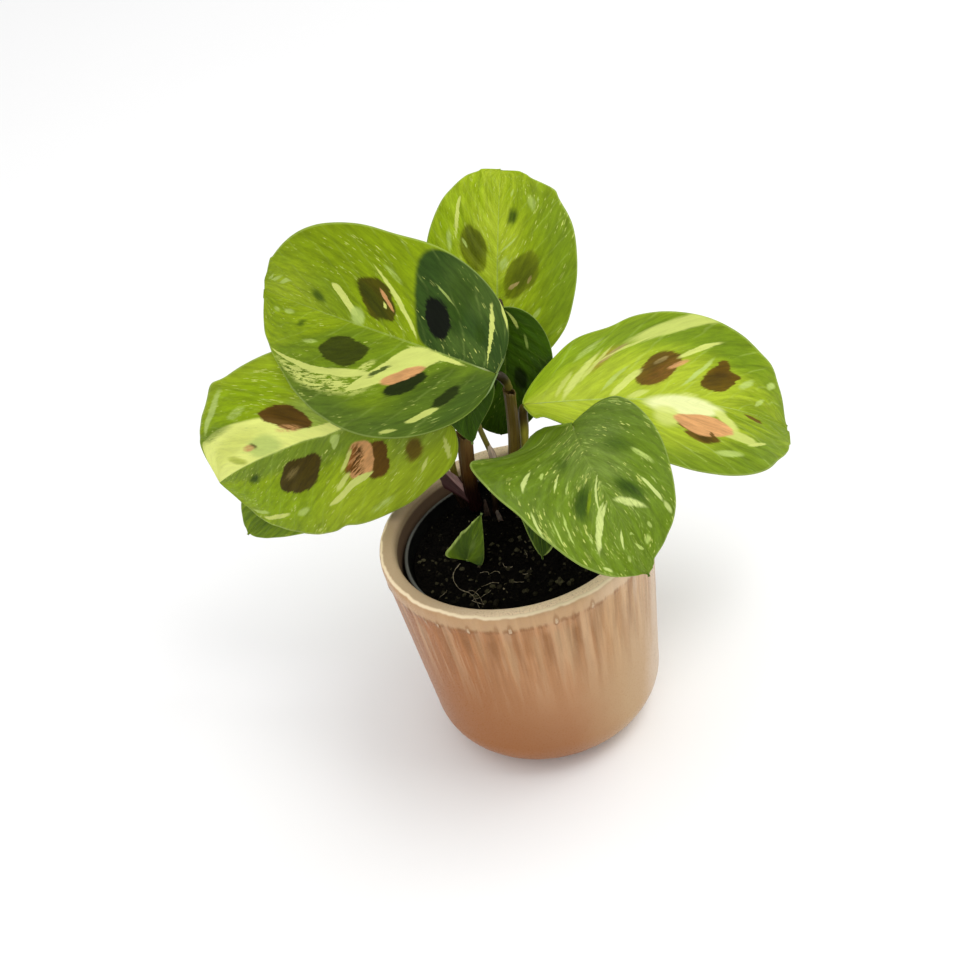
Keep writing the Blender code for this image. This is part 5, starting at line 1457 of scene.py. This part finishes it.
def makePlastic():
    material, tree, shader = newMaterial("nurseryPlastic", roughness=0.55, specular=0.04)
    place = placeInMm(tree)
    cloud = noiseAt(tree, place, 0.16, 4.0)
    dust = noiseAt(tree, place, 1.6, 4.0, 0.75)
    # near black below the rim: painted shade over the plastic, whose own grey shows only along the
    # rim's top
    colour = blendColours(tree, ramp(tree, cloud, 0.35, 0.65), linerTones["base"],
                          linerTones["cloud"])
    height = splitVector(tree, place)[2]
    unshadedRim = ramp(tree, calc(tree, "MULTIPLY_ADD", dust, 0.5, height), 64.35, 64.8, 0.0, 0.8)
    colour = blendColours(tree, unshadedRim, colour, linerTones["unshadedRim"])
    colour = blendColours(tree, ramp(tree, dust, 0.56, 0.70, 0.0, 0.6), colour,
                          linerTones["dust"])
    tree.links.new(ramp(tree, dust, 0.3, 0.7, 0.38, 0.62), shader.inputs["Roughness"])
    applyFinish(tree, shader, colour, dust, 0.04 * mm)
    return material


def makeNurseryPot():
    shape = linerShape
    rimLow, floor = shape["top"] - shape["rimDepth"], shape["bottom"] + shape["wall"]
    rimOut, rimIn = linerRadius(shape["top"]) + shape["rimOut"], linerRadius(shape["top"])
    rimIn -= shape["wall"]
    half = (rimOut - rimIn) / 2
    profile = [(0.0, shape["bottom"]), (0.010, shape["bottom"]),
               (shape["bottomRadius"] - 0.8 * mm, shape["bottom"])]
    profile += arcPoints((shape["bottomRadius"] - 0.8 * mm, shape["bottom"] + 0.8 * mm),
                         0.8 * mm, -80, 0, 5)
    profile += linePoints(profile[-1], (linerRadius(rimLow), rimLow), 24)
    profile += [(linerRadius(rimLow), rimLow), (rimOut - 0.3 * mm, rimLow),
                (rimOut, rimLow + 0.3 * mm)]
    profile += arcPoints((rimIn + half, shape["top"] - half), half, 0, 180, 12)
    profile += linePoints(profile[-1], (linerRadius(floor) - shape["wall"], floor), 24)
    profile += [(linerRadius(floor) - shape["wall"], floor), (0.010, floor), (0.0, floor)]
    bm = bmesh.new()
    spinProfile(bm, profile, shape["steps"])
    for vert in bm.verts:
        angle = math.atan2(vert.co.y, vert.co.x)
        near = max(0.0, (vert.co.z - 0.05) / 0.0145)
        vert.co.z += 0.18 * mm * near * ringNoise(angle, 2.2, 0, 31.0)
    liner = finishPiece("nurseryPot", bm, [makePlastic()], ("nursery_pot",))
    cutterMesh = bmesh.new()
    for quarter in range(4):
        turn = Matrix.Rotation(math.radians(45 + 90 * quarter), 4, "Z")
        place = turn @ Matrix.Translation((shape["drainRing"], 0.0, shape["bottom"]))
        bmesh.ops.create_cone(cutterMesh, cap_ends=True, segments=32, radius1=shape["drainRadius"],
                              radius2=shape["drainRadius"], depth=6 * mm, matrix=place)
    drill = meshObject("drainDrills", cutterMesh)
    holes = liner.modifiers.new("drainHoles", "BOOLEAN")
    holes.operation = "DIFFERENCE"
    holes.object = drill
    shaped = bpy.data.meshes.new_from_object(
        liner.evaluated_get(bpy.context.evaluated_depsgraph_get()))
    liner.modifiers.clear()
    liner.data = shaped
    bpy.data.objects.remove(drill, do_unlink=True)


makeNurseryPot()
print("nursery pot")

# The potting mix, its crumbs, and the root and fibres that lie on it
soilShape = {"top": 0.0610, "crown": 0.0006, "steps": 240, "rings": 84, "roughness": 0.55 * mm,
             "crumbs": 820, "dullBits": 90, "paleBits": 34, "fibres": 22, "seed": 17,
             "radius": 0.031, "crumbRadius": 0.0303, "fibreRadius": 0.027, "fibreLimit": 0.0300}
soilTones = {"peat": (0.0022, 0.0020, 0.0018), "grit": (0.010, 0.008, 0.006),
             "bit": (0.040, 0.034, 0.020), "crumb": (0.0025, 0.0022, 0.0020),
             "dryCrumb": (0.012, 0.010, 0.007), "bark": (0.095, 0.085, 0.045),
             "perlite": (0.30, 0.25, 0.16), "soot": (0.004, 0.003, 0.002),
             "rootShade": (0.13, 0.100, 0.055), "root": (0.40, 0.34, 0.22)}


def soilHeight(x, y):
    radius = math.hypot(x, y) / soilShape["radius"]
    place = Vector((x, y, 0.0))
    rough = (noise.noise(place * 240) + 0.6 * noise.noise(place * 620)
             + 0.35 * noise.noise(place * 1500))
    return (soilShape["top"] + soilShape["crown"] * (1 - radius ** 2)
            + soilShape["roughness"] * rough * min(1.0, (1 - radius) * 12 + 0.2))


def makePeat():
    material, tree, shader = newMaterial("peatMix", roughness=0.95, specular=0.02)
    place = placeInMm(tree)
    grit = noiseAt(tree, place, 1.3, 5.0, 0.75)
    fleck = addNode(tree, "ShaderNodeTexVoronoi", {"Vector": place, "Scale": 1.6}).outputs
    odd = splitVector(tree, fleck["Color"])[0]
    colour = blendColours(tree, ramp(tree, grit, 0.35, 0.75), soilTones["peat"],
                          soilTones["grit"])
    bits = calc(tree, "MULTIPLY", ramp(tree, odd, 0.90, 0.95),
                ramp(tree, fleck["Distance"], 0.12, 0.34, 1.0, 0.0))
    colour = layerUp(tree, colour, (times(tree, bits, 0.5), soilTones["bit"]))
    applyFinish(tree, shader, colour, grit, 0.5 * mm)
    return material


def makeCrumbFinish():
    # each crumb keeps its own tone in a point layer
    material, tree, shader = newMaterial("crumbMix", roughness=0.9, specular=0.03)
    tone = readLayer(tree, "tone")
    grit = noiseAt(tree, objectPlace(tree), 1800.0, 3.0, 0.7)
    colour = blendColours(tree, ramp(tree, tone, 0.0, 0.70), soilTones["crumb"],
                          soilTones["dryCrumb"])
    colour = blendColours(tree, ramp(tree, tone, 0.75, 0.92), colour, soilTones["bark"])
    colour = blendColours(tree, ramp(tree, tone, 0.94, 1.0), colour, soilTones["perlite"])
    colour = blendColours(tree, ramp(tree, grit, 0.35, 0.65, 0.0, 0.5), colour,
                          soilTones["soot"])
    applyFinish(tree, shader, colour, grit, 0.2 * mm)
    return material


def makeSoil():
    bottom = linerShape["bottom"] + linerShape["wall"] + 0.3 * mm
    inset = linerShape["wall"] + 0.3 * mm
    rimRadius = linerRadius(soilShape["top"]) - inset
    rings = soilShape["rings"]
    profile = [(0.0, bottom), (0.010, bottom), (linerRadius(bottom) - inset, bottom)]
    profile += linePoints(profile[-1], (rimRadius, soilShape["top"]), 12)
    profile += [(rimRadius * (1 - i / rings), soilShape["top"]) for i in range(rings + 1)]
    bm = bmesh.new()
    spinProfile(bm, profile, soilShape["steps"])
    for vert in bm.verts:
        if vert.co.z > soilShape["top"] - 0.1 * mm:
            vert.co.z = soilHeight(vert.co.x, vert.co.y)
    finishPiece("pottingSoil", bm, [makePeat()], ("potting_soil",), smoothAngle=80)


def scatter(name, count, sizes, toneRange, finish, detail, chance, front=False):
    bm = bmesh.new()
    tone = floatLayer(bm, "tone")
    for i in range(count):
        radius = soilShape["crumbRadius"] * math.sqrt(chance.random())
        angle = chance.uniform(0, math.tau)
        x, y = radius * math.cos(angle), radius * math.sin(angle)
        if front:
            y = -abs(y) * 0.95 + 0.004
        size = chance.uniform(*sizes) * (0.6 + 0.8 * chance.random() ** 3)
        stretch = Matrix.Diagonal((size * chance.uniform(0.7, 1.5), size * chance.uniform(0.6, 1.1),
                                   size * chance.uniform(0.5, 1.0), 1.0))
        turn = Matrix.Rotation(chance.uniform(0, math.tau), 4, "Z") @ Matrix.Rotation(
            chance.uniform(-0.7, 0.7), 4, "X")
        place = Matrix.Translation((x, y, soilHeight(x, y) + size * 0.25)) @ turn @ stretch
        verts = bmesh.ops.create_icosphere(bm, subdivisions=detail, radius=1.0)["verts"]
        shade = chance.uniform(*toneRange)
        for vert in verts:
            vert.co *= 1 + chance.uniform(-0.28, 0.28)
            vert[tone] = shade
        bmesh.ops.transform(bm, matrix=place, verts=verts)
    finishPiece(name, bm, [finish], smoothAngle=35)


def makeFibreFinish():
    material, tree, shader = newMaterial("rootFinish", roughness=0.7, specular=0.3)
    patch = noiseAt(tree, objectPlace(tree), 900.0, 3.0, 0.6)
    colour = blendColours(tree, ramp(tree, patch, 0.35, 0.65), soilTones["rootShade"],
                          soilTones["root"])
    applyFinish(tree, shader, colour, patch, 0.05 * mm)
    return material


mainRoots = {
    "curl": ((-17.6, -2.2), (-19.6, -5.4), (-20.2, -9.5), (-19.0, -13.2), (-17.0, -15.0)),
    "fork": ((-18.4, -13.8), (-16.4, -16.4), (-15.3, -18.9), (-14.5, -22.6)),
    "loop": ((-17.4, -14.8), (-15.6, -15.6), (-14.0, -18.2), (-13.2, -21.8)),
}


def makeRoots(chance):
    bm = bmesh.new()
    finish = makeFibreFinish()
    for name, points in mainRoots.items():
        thick = 0.14 * mm if name == "curl" else 0.11 * mm
        path = smoothPath([(x * mm, y * mm, 0.0) for x, y in points], 14)
        for i, point in enumerate(path):
            lift = 0.5 * mm + 0.6 * mm * math.sin(math.pi * i / (len(path) - 1))
            point.z = soilHeight(point.x, point.y) + lift
        last = len(path) - 1
        radii = [thick * (1.1 - 0.7 * i / last) * (1 + 0.15 * math.sin(i * 1.7))
                 for i in range(last + 1)]
        sweptTube(bm, path, radii, 8)
    finishPiece("surfaceRoots", bm, [finish], ("surface_root",))
    bm = bmesh.new()
    for i in range(soilShape["fibres"]):
        radius = soilShape["fibreRadius"] * math.sqrt(chance.random())
        angle = chance.uniform(0, math.tau)
        heading, bend = chance.uniform(0, math.tau), chance.uniform(-0.5, 0.5)
        x, y = radius * math.cos(angle), radius * math.sin(angle)
        step = chance.uniform(0.5, 1.3) * mm
        points = []
        for k in range(6):
            if math.hypot(x, y) > soilShape["fibreLimit"]:
                break
            points.append((x, y, soilHeight(x, y) + 0.35 * mm + chance.uniform(0, 0.3) * mm))
            x, y = x + step * math.cos(heading), y + step * math.sin(heading)
            heading += bend
        if len(points) > 2:
            path = smoothPath(points, 4)
            thick = chance.uniform(0.05, 0.10) * mm
            sweptTube(bm, path, [thick] * len(path), 6)
    finishPiece("soilFibres", bm, [finish])


makeSoil()
soilChance = random.Random(soilShape["seed"])
crumbFinish = makeCrumbFinish()
scatter("soilCrumbs", soilShape["crumbs"], (0.35 * mm, 0.85 * mm), (0.0, 0.90), crumbFinish, 1,
        soilChance)
scatter("dullBits", soilShape["dullBits"], (0.55 * mm, 0.95 * mm), (0.78, 0.93), crumbFinish, 2,
        soilChance, front=True)
scatter("paleBits", soilShape["paleBits"], (0.25 * mm, 0.55 * mm), (0.90, 1.0), crumbFinish, 2,
        soilChance)
makeRoots(soilChance)
print("soil, crumbs and roots")

# A pale floor, soft studio light and the camera
studio = {"floor": (0.96, 0.96, 0.96), "world": 0.90, "keyWatts": 4.25, "keySize": 0.55,
          "keyPlace": (0.50, -0.10, 0.95), "lens": 55.39, "elevation": 38.1, "roll": 13.0,
          "distance": 0.42, "aim": (0.0, 0.0, 0.070), "shift": (-0.0354, 0.0453)}


def makeFloor():
    material, tree, shader = newMaterial("paleFloor", roughness=0.85, specular=0.1)
    tint = noiseAt(tree, objectPlace(tree), 3.0, 3.0)
    colour = blendColours(tree, ramp(tree, tint, 0.3, 0.7), studio["floor"],
                          [c * 0.99 for c in studio["floor"]])
    tree.links.new(colour, shader.inputs["Base Color"])
    bm = bmesh.new()
    bmesh.ops.create_grid(bm, x_segments=1, y_segments=1, size=4.0,
                          matrix=Matrix.Translation((0.0, 0.0, -0.05 * mm)))
    floor = meshObject("studioFloor", bm, [material])


def makeLights():
    world = bpy.data.worlds.new("studioWorld")
    bpy.context.scene.world = world
    world.use_nodes = True
    background = world.node_tree.nodes["Background"]
    background.inputs["Color"].default_value = (1.0, 1.0, 1.0, 1.0)
    background.inputs["Strength"].default_value = studio["world"]
    lamp = bpy.data.lights.new("softKey", "AREA")
    lamp.energy, lamp.size = studio["keyWatts"], studio["keySize"]
    key = placeObject("softKey", lamp)
    key.location = studio["keyPlace"]
    aim = Vector(studio["aim"]) - key.location
    key.rotation_euler = aim.to_track_quat("-Z", "Y").to_euler()
    bpy.context.scene.view_settings.view_transform = "Standard"


def makeCamera():
    elevation, roll = math.radians(studio["elevation"]), math.radians(studio["roll"])
    back = Vector((0.0, -math.cos(elevation), math.sin(elevation)))
    across = Vector((1.0, 0.0, 0.0))
    up = back.cross(across)
    turn = Matrix.Rotation(-roll, 3, back)
    across, up = turn @ across, turn @ up
    data = bpy.data.cameras.new("camera")
    data.lens = studio["lens"]
    data.sensor_width = 36.0
    data.shift_x, data.shift_y = studio["shift"]
    data.clip_start = 0.01
    camera = placeObject("camera", data)
    camera.matrix_world = Matrix.Translation(
        Vector(studio["aim"]) + back * studio["distance"]) @ Matrix(
            (across, up, back)).transposed().to_4x4()
    bpy.context.scene.camera = camera


makeFloor()
makeLights()
makeCamera()
print("studio")
